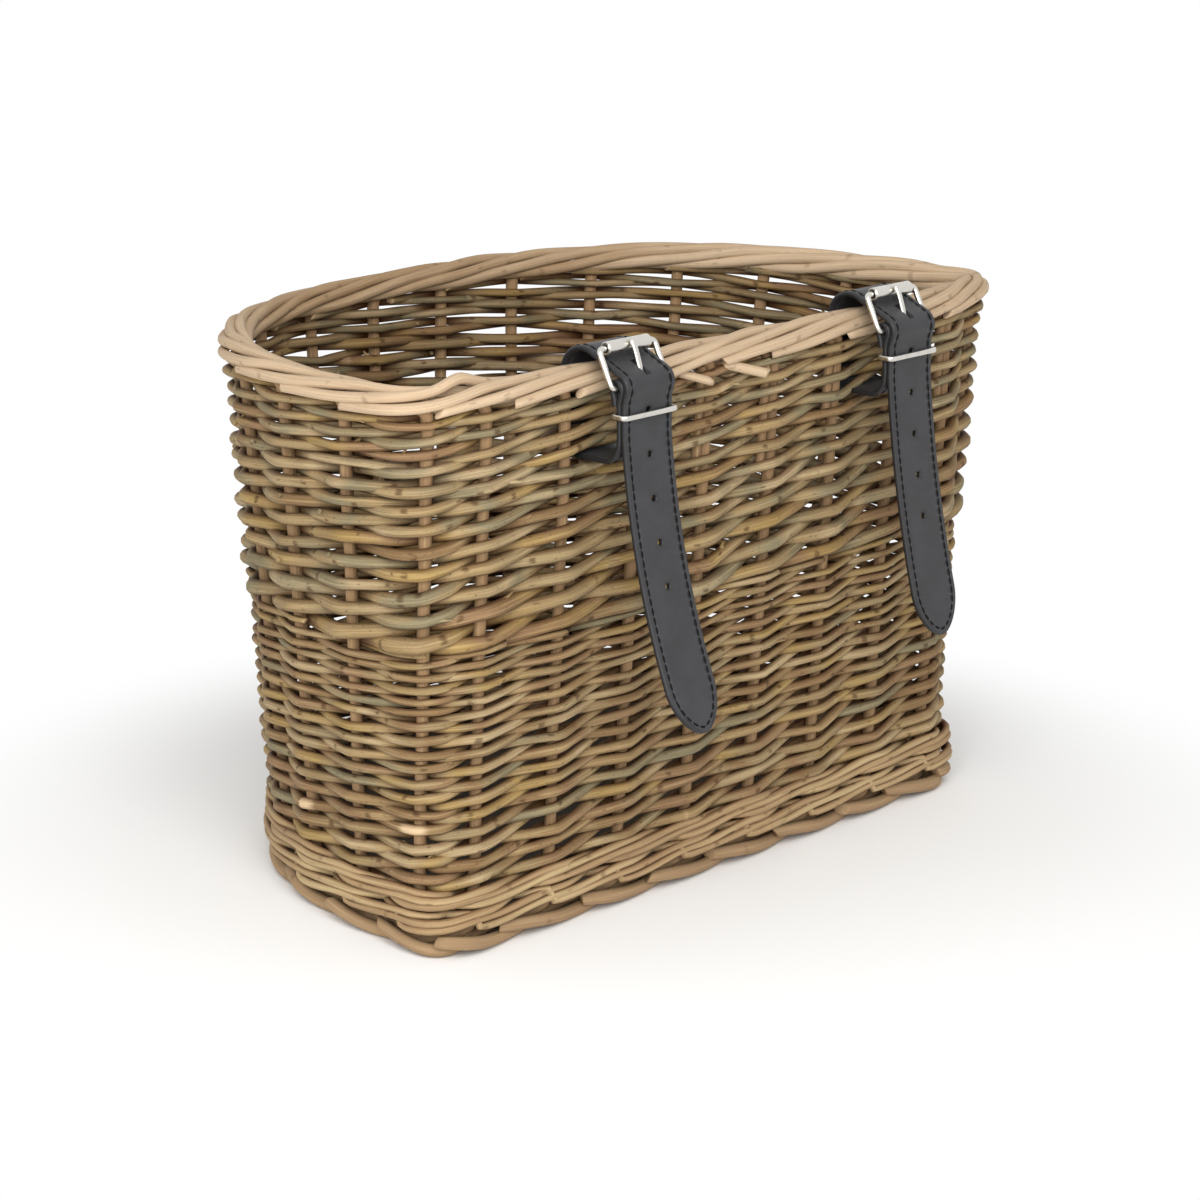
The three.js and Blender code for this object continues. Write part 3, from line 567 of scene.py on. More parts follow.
class Rods:
    """Rods or wires gathered into one mesh. Each stretch of rod has its own strip of the bake map."""

    # A cut end: the size of its bevelled lip and of its core as shares of the rod, and, in radii, how far both
    # stand past the end and where they lie along the bake map.
    LIP = 0.84
    CORE = 0.4
    CHAMFER = 0.12
    LIP_RUN = 0.2
    CORE_RUN = 0.7
    # Where a rod's girth starts in its strip of the bake map, and the share of the strip that it fills.
    STRIP_LOW = 0.07
    STRIP_FILL = 0.86
    # A rod that starts steeper than this has its sides set out from ACROSS, and any other from UP.
    STEEP = 0.8
    # How far apart two rods may lie in the noise of their finish.
    GRAIN_SPREAD = 40
    # Painted shade on a woven rod where it faces the rows beside it, the rods behind it and the inside.
    SHADE_BESIDE = 0.75
    SHADE_BEHIND = 0.95
    SHADE_INSIDE = 0.25

    def __init__(self, sides, seed):
        self.sides = sides
        self.turn = 2 * np.pi * np.arange(sides) / sides
        self.rng = np.random.default_rng(seed)
        self.rings, self.runs, self.tints, self.bares, self.soils, self.grains = [], [], [], [], [], []
        self.total = 0.0

    def add(self, path, thickness, tint=0.5, bare=0.0, slants=(0.0, 0.0), width=None, across=None, square=1.0,
            woven=None, fresh=1.0):
        """Adds a rod along a path. Its ends are cut across, on a slant where one is given.

        A woven rod is given with the way out of the wall and its side of the wall, 1 outside and -1 inside.
        Fresh says how far its cut ends show cream wood.
        """
        path = np.asarray(path, float)
        count = len(path)
        radius = np.broadcast_to(np.asarray(thickness, float) / 2, count)
        wide = radius if width is None else np.broadcast_to(np.asarray(width, float) / 2, count)
        along = np.gradient(path, axis=0)
        along /= np.linalg.norm(along, axis=1)[:, None]
        start = across if across is not None else (UP if abs(along[0][2]) < self.STEEP else ACROSS)
        first = carried_sides(along, np.asarray(start, float))
        second = np.cross(along, first)
        even, odd = np.cos(self.turn), np.sin(self.turn)
        even, odd = (np.sign(v) * np.abs(v) ** square for v in (even, odd))
        offsets = (first[:, None] * (wide[:, None] * even)[..., None]
                   + second[:, None] * (radius[:, None] * odd)[..., None])
        for end, slant in ((0, slants[0]), (-1, slants[1])):
            face = self.rng.uniform(0, 2 * np.pi)
            offsets[end] += along[end] * (slant * radius[end] * np.cos(self.turn - face))[:, None]
        caps = []
        for end, way in ((0, -1.0), (-1, 1.0)):
            step = along[end] * way * self.CHAMFER * radius[end]
            caps.append([path[end] + step + size * offsets[end] for size in (self.LIP, self.CORE)])
        rings = np.stack([caps[0][1], caps[0][0], *(path[:, None] + offsets), caps[1][0], caps[1][1]])
        run = run_of(path)
        before, after = radius[0], radius[-1]
        run = np.concatenate([[-self.CORE_RUN * before, -self.LIP_RUN * before], run,
                              [run[-1] + self.LIP_RUN * after, run[-1] + self.CORE_RUN * after]])
        round_part = np.stack([even * radius.mean(), odd * radius.mean()], axis=-1)
        grain = np.concatenate([np.broadcast_to(run[:, None, None], (count + 4, self.sides, 1)),
                                np.broadcast_to(round_part, (count + 4, self.sides, 2))], axis=2)
        ends = np.full(2, fresh)
        # Painted shade in the crevices of a woven rod; none on the other rods.
        soil = np.zeros((count, self.sides)) if woven is None else self.crevices(offsets, *woven)
        self.soils.append(np.pad(soil, ((2, 2), (0, 0)), mode="edge"))
        self.rings.append(rings)
        self.grains.append(grain + self.rng.uniform(0, self.GRAIN_SPREAD, 3))
        self.tints.append(np.pad(np.broadcast_to(tint, count), 2, mode="edge"))
        self.bares.append(np.concatenate([ends, np.broadcast_to(bare, count), ends]))
        self.runs.append(run - run[0] + self.total)
        self.total = self.runs[-1][-1]

    def crevices(self, offsets, outward, side):
        """Shade painted on a woven rod where it faces the rows beside it, the rods behind it or the inside."""
        normal = offsets / np.linalg.norm(offsets, axis=2, keepdims=True)
        facing = np.einsum("ijk,ik->ij", normal, outward)
        beside = self.SHADE_BESIDE * np.abs(normal[..., 2]) ** 3
        behind = self.SHADE_BEHIND * np.maximum(0.0, -side[:, None] * facing)
        inside = self.SHADE_INSIDE * np.maximum(0.0, -facing)
        return np.clip(beside + behind + inside, 0.0, 1.0)

    def strips(self):
        """Width of the bake map's strips, their number, and the longest step along a rod."""
        girth = max(np.linalg.norm(np.diff(r, axis=1), axis=2).sum(axis=1).max() for r in self.rings)
        width = max(math.sqrt(self.total * girth), 1e-4)
        step = max(np.diff(run).max() for run in self.runs)
        return width, int(self.total / width) + 1, step

    def build(self, name, finish):
        """Makes the mesh object with its finish."""
        width, rows, step = self.strips()
        sides = self.sides
        k = np.arange(sides)
        beside = (k + 1) % sides
        faces, maps, base = [], [], 0
        ends, end_maps = [], []
        for rings, run in zip(self.rings, self.runs):
            count = len(rings)
            here = base + np.arange(count - 1)[:, None] * sides
            quads = np.stack([here + k, here + beside, here + sides + beside, here + sides + k], axis=-1)
            faces.append(quads.reshape(-1, 4))
            row = np.floor(run / width)
            low = np.broadcast_to((run[:-1] - row[:-1] * width)[:, None], (count - 1, sides))
            high = np.broadcast_to((run[1:] - row[:-1] * width)[:, None], (count - 1, sides))
            u = np.stack([low, low, high, high], axis=-1) / (width + step)
            v = np.stack([k, k + 1, k + 1, k], axis=-1) / sides * self.STRIP_FILL + self.STRIP_LOW
            v = (row[:-1, None, None] + v[None]) / rows
            maps.append(np.stack([u, v], axis=-1).reshape(-1, 2))
            for ring, order in ((0, k[::-1]), (count - 1, k)):
                ends.append((base + ring * sides + order).tolist())
                spot = row[min(ring, count - 2)]
                end_u = np.full(sides, (run[ring] - spot * width) / (width + step))
                end_v = (spot + self.STRIP_LOW + self.STRIP_FILL * order / sides) / rows
                end_maps.append(np.stack([end_u, end_v], axis=-1))
            base += count * sides
        mesh = bpy.data.meshes.new(name)
        points = np.concatenate([r.reshape(-1, 3) for r in self.rings])
        mesh.from_pydata(points.tolist(), [], np.concatenate(faces).tolist() + ends)
        layer = mesh.uv_layers.new(name="OFBake")
        layer.data.foreach_set("uv", np.concatenate(maps + end_maps).astype(np.float32).ravel())
        set_values(mesh, "tint", np.repeat(np.concatenate(self.tints), sides))
        set_values(mesh, "bare", np.repeat(np.concatenate(self.bares), sides))
        # Painted crevice shade, point by point.
        set_values(mesh, "soil", np.concatenate(self.soils).ravel())
        set_vectors(mesh, "grain", np.concatenate([g.reshape(-1, 3) for g in self.grains]))
        return placed(mesh, finish)


def set_values(mesh, name, values):
    mesh.attributes.new(name, "FLOAT", "POINT").data.foreach_set("value", np.asarray(values, np.float32))


def set_vectors(mesh, name, values):
    data = mesh.attributes.new(name, "FLOAT_VECTOR", "POINT").data
    data.foreach_set("vector", np.asarray(values, np.float32).ravel())


def placed(mesh, finish, sharp=None):
    """Puts a mesh in the scene with its finish, smooth but for edges that turn more than the sharp degrees."""
    mesh.validate()
    mesh.shade_smooth()
    if sharp is not None:
        mesh.set_sharp_from_angle(angle=math.radians(sharp))
    mesh.materials.append(finish)
    made = bpy.data.objects.new(mesh.name, mesh)
    bpy.context.scene.collection.objects.link(made)
    return made


def ring_faces(rows, around):
    """The faces between closed rings of points."""
    faces = []
    for base in range(0, (rows - 1) * around, around):
        for k in range(around):
            beside = (k + 1) % around
            faces.append([base + k, base + beside, base + around + beside, base + around + k])
    return faces


def turn_faces_out(mesh):
    """Turns the faces of a closed mesh outwards."""
    shape = bmesh.new()
    shape.from_mesh(mesh)
    bmesh.ops.recalc_face_normals(shape, faces=shape.faces)
    shape.to_mesh(mesh)
    shape.free()


def border(place, centre_height, oval, loose, degrees):
    """Points of a strand in a twisted border of oval section; 0 degrees is outwards and 90 is up."""
    angle = np.radians(degrees)
    out, up = oval[0] * loose * np.cos(angle), oval[1] * loose * np.sin(angle)
    return beside_wall(place, np.full_like(place, centre_height), out) + UP * up[:, None]


def near_corner(place):
    """1 at the back corners, where rods go straight on before they bend, falling to 0 beside them."""
    return sum(np.exp(-(stakes_from(corner, place) / CORNER_SPREAD) ** 2) for corner in CORNERS)


class BASKET_OT_base_board(bpy.types.Operator):
    """Cut the plywood base board with its eased edge"""

    bl_idname = "basket.base_board"
    bl_label = "Base board"

    STEPS = 288
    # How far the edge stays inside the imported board's and is eased, and where its faces' middle starts.
    CLEAR = 0.0012
    EASE = 0.0009
    FLAT = 0.022

    def execute(self, context):
        steps, ease = self.STEPS, self.EASE
        place = np.arange(steps) * STAKES / steps
        edge = beside_wall(place, np.zeros(steps), np.full(steps, BOARD_MARGIN - self.CLEAR))
        inwards = -wall_out(place, np.zeros(steps))
        low, high = BOARD_LOW.z, BOARD_HIGH.z
        # Distance in from the edge, height, and how far the plies show.
        rows = [(self.FLAT, low, 0.0), (ease, low, 0.3), (0.0, low + ease, 1.0),
                (0.0, high - ease, 1.0), (ease, high, 0.3), (self.FLAT, high, 0.0)]
        points = np.concatenate([edge + inwards * inset + UP * z for inset, z, _ in rows])
        faces = ring_faces(len(rows), steps)
        faces.append(list(range(steps))[::-1])
        faces.append([(len(rows) - 1) * steps + k for k in range(steps)])
        mesh = bpy.data.meshes.new("plywood_base")
        mesh.from_pydata(points.tolist(), [], faces)
        set_vectors(mesh, "grain", points)
        set_values(mesh, "edge", np.repeat([plies for *_, plies in rows], steps))
        board = placed(mesh, plywood_finish(), sharp=35)
        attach(board, "basket")
        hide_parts("base_board")
        return {"FINISHED"}


class BASKET_OT_stakes(bpy.types.Operator):
    """Set the willow stakes and turn their ends into the foot and rim borders"""

    bl_idname = "basket.stakes"
    bl_label = "Stakes and borders"

    # Places on the scale of colours: the upright, the foot, the rim at the back, and the rim past FRONT_FROM.
    UPRIGHT = 0.12
    FOOT = 0.5
    RIM = 0.88
    SHADED_FRONT = 0.66
    FRONT_FROM = 0.06
    FRONT_EASE = 0.06
    # A rod changes thickness and colour over TURN, from this far before it leaves the foot or meets the rim.
    TURN = 0.014
    FOOT_LEAD = 0.010
    RIM_LEAD = 0.008
    # The share of its thickness that a laid top loses, and over what length.
    TAPER = 0.16
    TAPER_LENGTH = 0.22
    # Thin rods pushed in beside the back stakes: which ones, where they start and end, and how far off.
    SIDE_STAKES = range(-2, 4)
    SIDE_START = (0.190, 0.212)
    SIDE_TOP = 0.2465
    SIDE_GAP = 0.0053
    CORNER_PUSH = 0.0035
    # A strand lies hidden in the border over its first stakes, and starts from this share of the oval.
    HIDDEN = 1.7
    CORE = 0.12
    # The strand that stands up in a hump: its stake, how many stakes on the hump is, its width and its rise.
    HUMP = {"stake": 23, "back": 3.48, "width": 0.28, "rise": 1.05}
    # Ends left standing out under the rim: place, height and distance out at both ends, and thickness.
    LOOSE_ENDS = (
        ((-0.85, 0.2468, 0.0030), (-0.36, 0.2402, 0.0105), 0.0046),
        ((-1.50, 0.2468, 0.0030), (-1.20, 0.2422, 0.0090), 0.0038),
    )

    def execute(self, context):
        sizes = context.scene.basket_sizes
        tones = context.scene.basket_colours
        rods = Rods(sides=12, seed=sizes.seed)
        rng = np.random.default_rng(sizes.seed + 1)
        for index in range(STAKES):
            path, foot_end, rim_start = self.stake_path(index, rng)
            path = eased(path, step=0.003, passes=5)
            run = run_of(path)
            to_upright = np.clip((run - foot_end + self.FOOT_LEAD) / self.TURN, 0.0, 1.0)
            to_rim = np.clip((run - rim_start + self.RIM_LEAD) / self.TURN, 0.0, 1.0)
            thickness = sizes.foot_rod + (sizes.stake - sizes.foot_rod) * to_upright
            thickness = thickness + (sizes.rim_rod - sizes.stake) * to_rim
            thickness *= rng.uniform(0.9, 1.06) * (1 + 0.04 * ripple(rng, run, (0.05, 0.13)))
            thickness *= 1 - self.TAPER * np.clip((run - rim_start) / self.TAPER_LENGTH, 0.0, 1.0)
            # Past FRONT_FROM the rim's colour is browner, as painted shade on the front border.
            to_front = np.clip((path[:, 1] - self.FRONT_FROM) / self.FRONT_EASE, 0.0, 1.0)
            rim = self.RIM + (self.SHADED_FRONT - self.RIM) * to_front
            tint = self.FOOT + (self.UPRIGHT - self.FOOT) * to_upright + (rim - self.UPRIGHT) * to_rim
            tint = tint + rng.uniform(-0.07, 0.07)
            slants = rng.uniform(0.5, 1.1), rng.uniform(0.6, 1.3)
            rods.add(path, thickness, tint, slants=slants, fresh=0.4)
        for index in self.SIDE_STAKES:
            z = np.linspace(rng.uniform(*self.SIDE_START), self.SIDE_TOP, 30)
            place = index - self.SIDE_GAP / BACK_PITCH + 0.01 * ripple(rng, z, (0.08, 0.2))
            rods.add(wall(place, z), sizes.side_stake, self.UPRIGHT + rng.uniform(-0.05, 0.05))
        for start, end, thickness in self.LOOSE_ENDS:
            steps = np.linspace(0.0, 1.0, 12)
            place, z, out = (a + (b - a) * steps for a, b in zip(start, end))
            rods.add(beside_wall(place, z, out), thickness, self.RIM, slants=(0.0, 0.9))
        stops = [(0.0, [c * 0.8 for c in tones.upright]), (0.25, tones.upright), (0.42, tones.foot),
                 (0.58, tones.foot), (0.8, tones.rim), (1.0, [min(1, c * 1.08) for c in tones.rim])]
        finish = willow_finish("buff_willow", stops, depth=0.00018, spread=0.2, marks=0.3)
        stakes = rods.build("willow_stakes", finish)
        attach(stakes, "basket")
        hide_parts(*[f"stake_{index + 1:02d}" for index in range(STAKES)])
        return {"FINISHED"}

    def stake_path(self, index, rng):
        """The foot laid under the board, the upright, and the top laid to the left into the rim."""
        back = np.linspace(FOOT_LAY + rng.uniform(-0.1, 0.15), 0.0, 51)
        sway = 6 * ripple(rng, back, (1.1, 2.3)) * np.minimum(1, back)
        foot = border(index - back, FOOT_CENTRE, FOOT_OVAL, 1.0, 90 + FOOT_TURN * back + sway)
        push = self.CORNER_PUSH * near_corner(index - back) * np.clip((back - 0.6) / 0.8, 0.0, 1.0)
        foot += wall_out(index - back, FOOT_CENTRE) * push[:, None]
        z = np.linspace(foot[-1][2], RIM_CENTRE - self.CORE * RIM_OVAL[1], 80)
        upright = wall(index + 0.012 * ripple(rng, z, (0.07, 0.16)), z)
        back = np.linspace(0.0, RIM_LAY + rng.uniform(-0.3, 0.2), 108)
        turn = -90 - RIM_TURN * back + 9 * ripple(rng, back, (1.7, 3.1)) * np.minimum(1, back)
        loose = 1 + 0.1 * ripple(rng, back, (1.3, 2.6)) * np.minimum(1, back)
        open_part = np.clip(back / self.HIDDEN, 0.0, 1.0)
        loose *= self.CORE + (1 - self.CORE) * smooth(open_part)
        if index == self.HUMP["stake"]:
            loose += self.HUMP["rise"] * np.exp(-((back - self.HUMP["back"]) / self.HUMP["width"]) ** 2)
        rim = border(index - back, RIM_CENTRE, RIM_OVAL, loose, turn)
        foot_end = run_of(foot)[-1]
        rim_start = foot_end + run_of(upright)[-1]
        return np.concatenate([foot[:-1], upright, rim[1:]]), foot_end, rim_start


class BASKET_OT_wale(bpy.types.Operator):
    """Weave the wale that sets the stakes, twice round, over the edge of the board"""

    bl_idname = "basket.wale"
    bl_label = "Wale"

    STEPS = 12
    CORNER_PUSH = 0.0015
    # A rod that is less than this past the board's edge lies on the board.
    EDGE_ROOM = 0.0018
    # How far a rod drifts up and down, and how uneven its thickness is.
    DRIFT = 0.0008
    UNEVEN = 0.14
    # Distance out and height at four stakes running, for the first and the second round.
    ROUNDS = (
        ((0.0074, 0.0134), (0.0074, 0.0168), (0.0070, 0.0200), (-0.0048, 0.0210)),
        ((0.0064, 0.0236), (0.0060, 0.0268), (0.0054, 0.0298), (-0.0048, 0.0268)),
    )

    def execute(self, context):
        sizes = context.scene.basket_sizes
        tones = context.scene.basket_colours
        rods = Rods(sides=10, seed=sizes.seed + 10)
        rng = np.random.default_rng(sizes.seed + 11)
        knots = np.arange(-2, STAKES + 3)
        for strokes in self.ROUNDS:
            for index in range(len(strokes)):
                place = np.linspace(-0.3, STAKES + 0.5, STAKES * self.STEPS) + rng.uniform(-0.4, 0.4)
                outs, heights = zip(*[strokes[(k + index) % len(strokes)] for k in knots])
                out, z = (self.stroke(place, knots, np.array(v)) for v in (outs, heights))
                on_board = out < BOARD_MARGIN + self.EDGE_ROOM
                z = np.where(on_board, np.maximum(z, BOARD_TOP + sizes.wale_rod / 2), z)
                z = z + self.DRIFT * ripple(rng, place, (1.3, 3.0, 7.0))
                out = out + self.CORNER_PUSH * near_corner(place) * (out > 0)
                thickness = sizes.wale_rod * (1 + self.UNEVEN * ripple(rng, place, (0.9, 4.0)))
                tint = np.clip(rng.uniform(0.3, 0.8) + 0.25 * ripple(rng, place, (4.0, 11.0)), 0.0, 1.0)
                rods.add(beside_wall(place, z, out), thickness, tint, slants=(0.5, 0.5),
                         woven=(wall_out(place, z), np.tanh(out / 0.003)), fresh=0.2)
        stops = [(0.0, [c * 0.75 for c in tones.wale]), (0.5, tones.wale), (1.0, tones.peeled)]
        wale = rods.build("willow_wale", willow_finish("wale_willow", stops, marks=0.5))
        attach(wale, "basket")
        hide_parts(*[f"wale_rod_{index + 1}" for index in range(3)])
        return {"FINISHED"}

    @staticmethod
    def stroke(place, knots, values):
        """Values at the stakes joined by smooth steps."""
        low = np.clip(np.floor(place).astype(int) - knots[0], 0, len(knots) - 2)
        part = smooth(place - knots[low])
        return values[low] * (1 - part) + values[low + 1] * part


class BASKET_OT_weave(bpy.types.Operator):
    """Weave one band of the wall, each rod starting at its own stake and climbing to the right"""

    bl_idname = "basket.weave"
    bl_label = "Weave"

    band: EnumProperty(
        name="Band", description="Which band of the wall to weave",
        items=[("lower", "Lower", "Band above the wale"), ("upper", "Upper", "Band under the rim")])

    STEPS = 12
    TWIGS = 150
    # How tightly a rod hugs the stakes, and how straight it runs between them.
    HUG = 0.85
    KINK = 0.85
    # How uneven the rods are: in thickness, in drift up and down, and at the stakes in rows, dip and reach.
    UNEVEN = 0.16
    DRIFT = 0.0007
    JOG = 0.2
    DIP_JOG = 0.4
    REACH_JOG = 0.1
    # The dips at the stakes fade out over this share of the band at its bottom and at its top.
    DIP_FADE = 1 / 8
    # They also fade out past the last stake on the back: how far on, and over how many stakes.
    DIP_PAST = 0.5
    DIP_EASE = 1.2
    # The most that a rod strays at a stake.
    MOST_JOG = 1.8
    # How bare a rod's rubbed stretch is and how many stakes it reaches, each drawn from these.
    RUBBED = (0.0, 0.0, 0.55)
    RUBBED_STAKES = (0.08, 0.25)
    # A strap's slot: how far above and below it rows make way, its half width and easing in stakes, how far
    # the rows beside it part, and over what height.
    SLOT_REACH = 0.030
    SLOT_HALF = 0.95
    SLOT_EASE = 0.55
    SLOT_ROOM = 0.0020
    SLOT_EDGE = 0.001
    # Places and heights where a rod is split open, how far it shows cream wood, and how far that reaches.
    SPLITS = ((-5.0, 0.060), (-7.0, 0.054), (2.2, 0.192), (11.0, 0.090))
    SPLIT_BARE = 0.85
    SPLIT_STAKES = 0.3
    SPLIT_HEIGHT = 0.0040
    # The bark colours that the rods' own numbers pick from.
    BARK = {
        "lower": "slate olive brown olive straw gold mustard olive red gold brown",
        "upper": "brown olive slate straw olive gold slate olive gold mustard red",
    }

    def execute(self, context):
        sizes = context.scene.basket_sizes
        lower = self.band == "lower"
        rows, butt, tip, start, fullness, dip = (
            getattr(sizes, f"{self.band}_{size}")
            for size in ("rows", "butt", "tip", "start", "fullness", "dip"))
        top = sizes.upper_start if lower else sizes.upper_top
        rods = Rods(sides=10, seed=sizes.seed + (20 if lower else 30))
        rng = np.random.default_rng(sizes.seed + (21 if lower else 31))
        strands = []
        for index in range(STAKES):
            stroke = np.linspace(-0.2, rows + rng.uniform(-0.3, 0.3), int(rows * self.STEPS))
            level = stroke / rows
            row_height = (top - start) / rows * (butt + (tip - butt) * level) / ((butt + tip) / 2)
            thickness = row_height * fullness * rng.uniform(0.9, 1.06)
            thickness = thickness * (1 + self.UNEVEN * ripple(rng, stroke, (0.8, 2.3, 5.0)))
            z = start + (top - start) * self.climbed(level, butt, tip)
            z = z + self.DRIFT * ripple(rng, stroke, (2.7, 6.1))
            wave = -np.cos(np.pi * stroke)
            wave = (1 - self.KINK) * wave + self.KINK * (2 / np.pi) * np.arcsin(np.clip(wave, -1, 1))
            place = index + stroke
            if not lower:
                seams = self.climbed(np.arange(1, rows) / rows, butt, tip)
                z = self.parted(place, z, start + (top - start) * seams)
            dips = dip * (1 + self.DIP_JOG * self.jogs(rng, stroke)) * self.on_back(place)
            dips = dips * np.clip(np.minimum(level, 1 - level) / self.DIP_FADE, 0.0, 1.0)
            z = z + row_height * (self.JOG * self.jogs(rng, stroke) - dips * wave)
            out = self.HUG * (sizes.stake + thickness) / 2 * wave
            out = out * (1 + self.REACH_JOG * self.jogs(rng, stroke))
            path = beside_wall(place, z, out)
            tint = np.clip(rng.uniform(0, 1) + 0.35 * ripple(rng, stroke, (2.6, 6.0, 13.0)), 0.0, 1.0)
            bare = np.maximum(self.peeled(rng, stroke), self.split(place, z, out))
            slants = rng.uniform(0.3, 1.0), rng.uniform(0.3, 1.0)
            rods.add(path, thickness, tint, bare, slants, woven=(wall_out(place, z), wave))
            strands.append((path, thickness, tint))
        self.add_twigs(rods, rng, strands)
        stops = weave_stops(self.BARK[self.band].split())
        finish = willow_finish(f"{self.band}_weave_bark", stops, depth=0.0003)
        weave = rods.build(f"{self.band}_weave", finish)
        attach(weave, "basket")
        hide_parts(*[f"{self.band}_weaver_{index + 1}" for index in range(8)])
        return {"FINISHED"}

    @staticmethod
    def climbed(level, butt, tip):
        """How far up its band a rod is, whose rows are taller at its butt than at its tip."""
        return level * (butt + (tip - butt) * level / 2) / ((butt + tip) / 2)

    def parted(self, place, z, seams):
        """The rows pushed apart at the seam between two rows where a strap goes through the wall."""
        for side, middle in STRAP_PLACES.items():
            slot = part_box(f"{side}_strap")[0].z + LEATHER / 2
            seam = seams[np.argmin(np.abs(seams - slot))]
            away = np.abs(stakes_from(middle, place))
            window = smooth(np.clip((self.SLOT_HALF - away) / self.SLOT_EASE, 0.0, 1.0))
            near = np.clip(1 - np.abs(z - seam) / self.SLOT_REACH, 0.0, 1.0) ** 2
            z = z + window * near * (slot - seam + self.SLOT_ROOM * np.tanh((z - seam) / self.SLOT_EDGE))
        return z

    def on_back(self, place):
        """1 on the flat back of the wall, falling to 0 at its corners."""
        from_middle = np.abs(stakes_from(BACK_MIDDLE, place))
        return np.clip((LAST_ON_BACK + self.DIP_PAST - from_middle) / self.DIP_EASE, 0.0, 1.0)

    def jogs(self, rng, stroke):
        """A line that bends a little, this way or that, at each stake."""
        stakes = np.arange(-1, math.ceil(stroke[-1]) + 2)
        strays = np.clip(rng.normal(size=len(stakes)), -self.MOST_JOG, self.MOST_JOG)
        return np.interp(stroke, stakes, strays)

    def peeled(self, rng, stroke):
        """A short stretch, on some rods, where the bark is rubbed off."""
        middle = rng.uniform(stroke[0], stroke[-1])
        bare = rng.choice(self.RUBBED)
        return bare * np.exp(-((stroke - middle) / rng.uniform(*self.RUBBED_STAKES)) ** 2)

    def split(self, place, z, out):
        """How far a rod is split open at each of its points."""
        bare = np.zeros_like(place)
        for spot, height in self.SPLITS:
            near = self.SPLIT_BARE * np.exp(-(stakes_from(spot, place) / self.SPLIT_STAKES) ** 2)
            bare = np.maximum(bare, near * (np.abs(z - height) < self.SPLIT_HEIGHT) * (out > 0))
        return bare

    def add_twigs(self, rods, rng, strands):
        """Stubs of side twigs trimmed off at the buds, and slivers of bark that have lifted."""
        for twig in range(self.TWIGS):
            path, thickness, tint = strands[rng.integers(len(strands))]
            spot = rng.integers(4, len(path) - 4)
            along = path[spot + 1] - path[spot]
            along /= np.linalg.norm(along)
            away = np.append(rng.normal(size=2), rng.uniform(-0.4, 0.8))
            away -= along * (away @ along)
            sliver = twig % 2
            away = away / np.linalg.norm(away) + along * rng.uniform(0.6, 1.4) * (3 if sliver else 1)
            away /= np.linalg.norm(away)
            reach = thickness[spot] * (1.5 if sliver else 0.5) + rng.uniform(0.0012, 0.0040)
            steps = np.linspace(0.1, 1.0, 5)[:, None]
            stub = path[spot] + away * reach * steps
            size = thickness[spot] * rng.uniform(0.28, 0.42) * np.linspace(1.3, 0.4 if sliver else 0.9, 5)
            shade = np.clip(tint[spot] + rng.uniform(-0.1, 0.1), 0, 1)
            rods.add(stub, size, shade, slants=(0.0, 0.8), fresh=0.4)


def rounded(corners):
    """A line through corners (out, height, radius) in side view, each rounded to its own radius."""
    line = []
    for i, (out, height, radius) in enumerate(corners):
        at = np.array([out, height])
        if radius == 0:
            line.append(at)
            continue
        into = at - np.array(corners[i - 1][:2])
        onward = np.array(corners[(i + 1) % len(corners)][:2]) - at
        into, onward = into / np.linalg.norm(into), onward / np.linalg.norm(onward)
        turn = math.atan2(into[0] * onward[1] - into[1] * onward[0], into @ onward)
        start = at - into * radius * math.tan(abs(turn) / 2)
        centre = start + np.array([-into[1], into[0]]) * math.copysign(radius, turn)
        for angle in np.linspace(0, turn, max(2, int(abs(turn) / math.radians(6)) + 1)):
            c, s = math.cos(angle), math.sin(angle)
            arm = start - centre
            line.append(centre + np.array([c * arm[0] - s * arm[1], s * arm[0] + c * arm[1]]))
    return np.array(line)


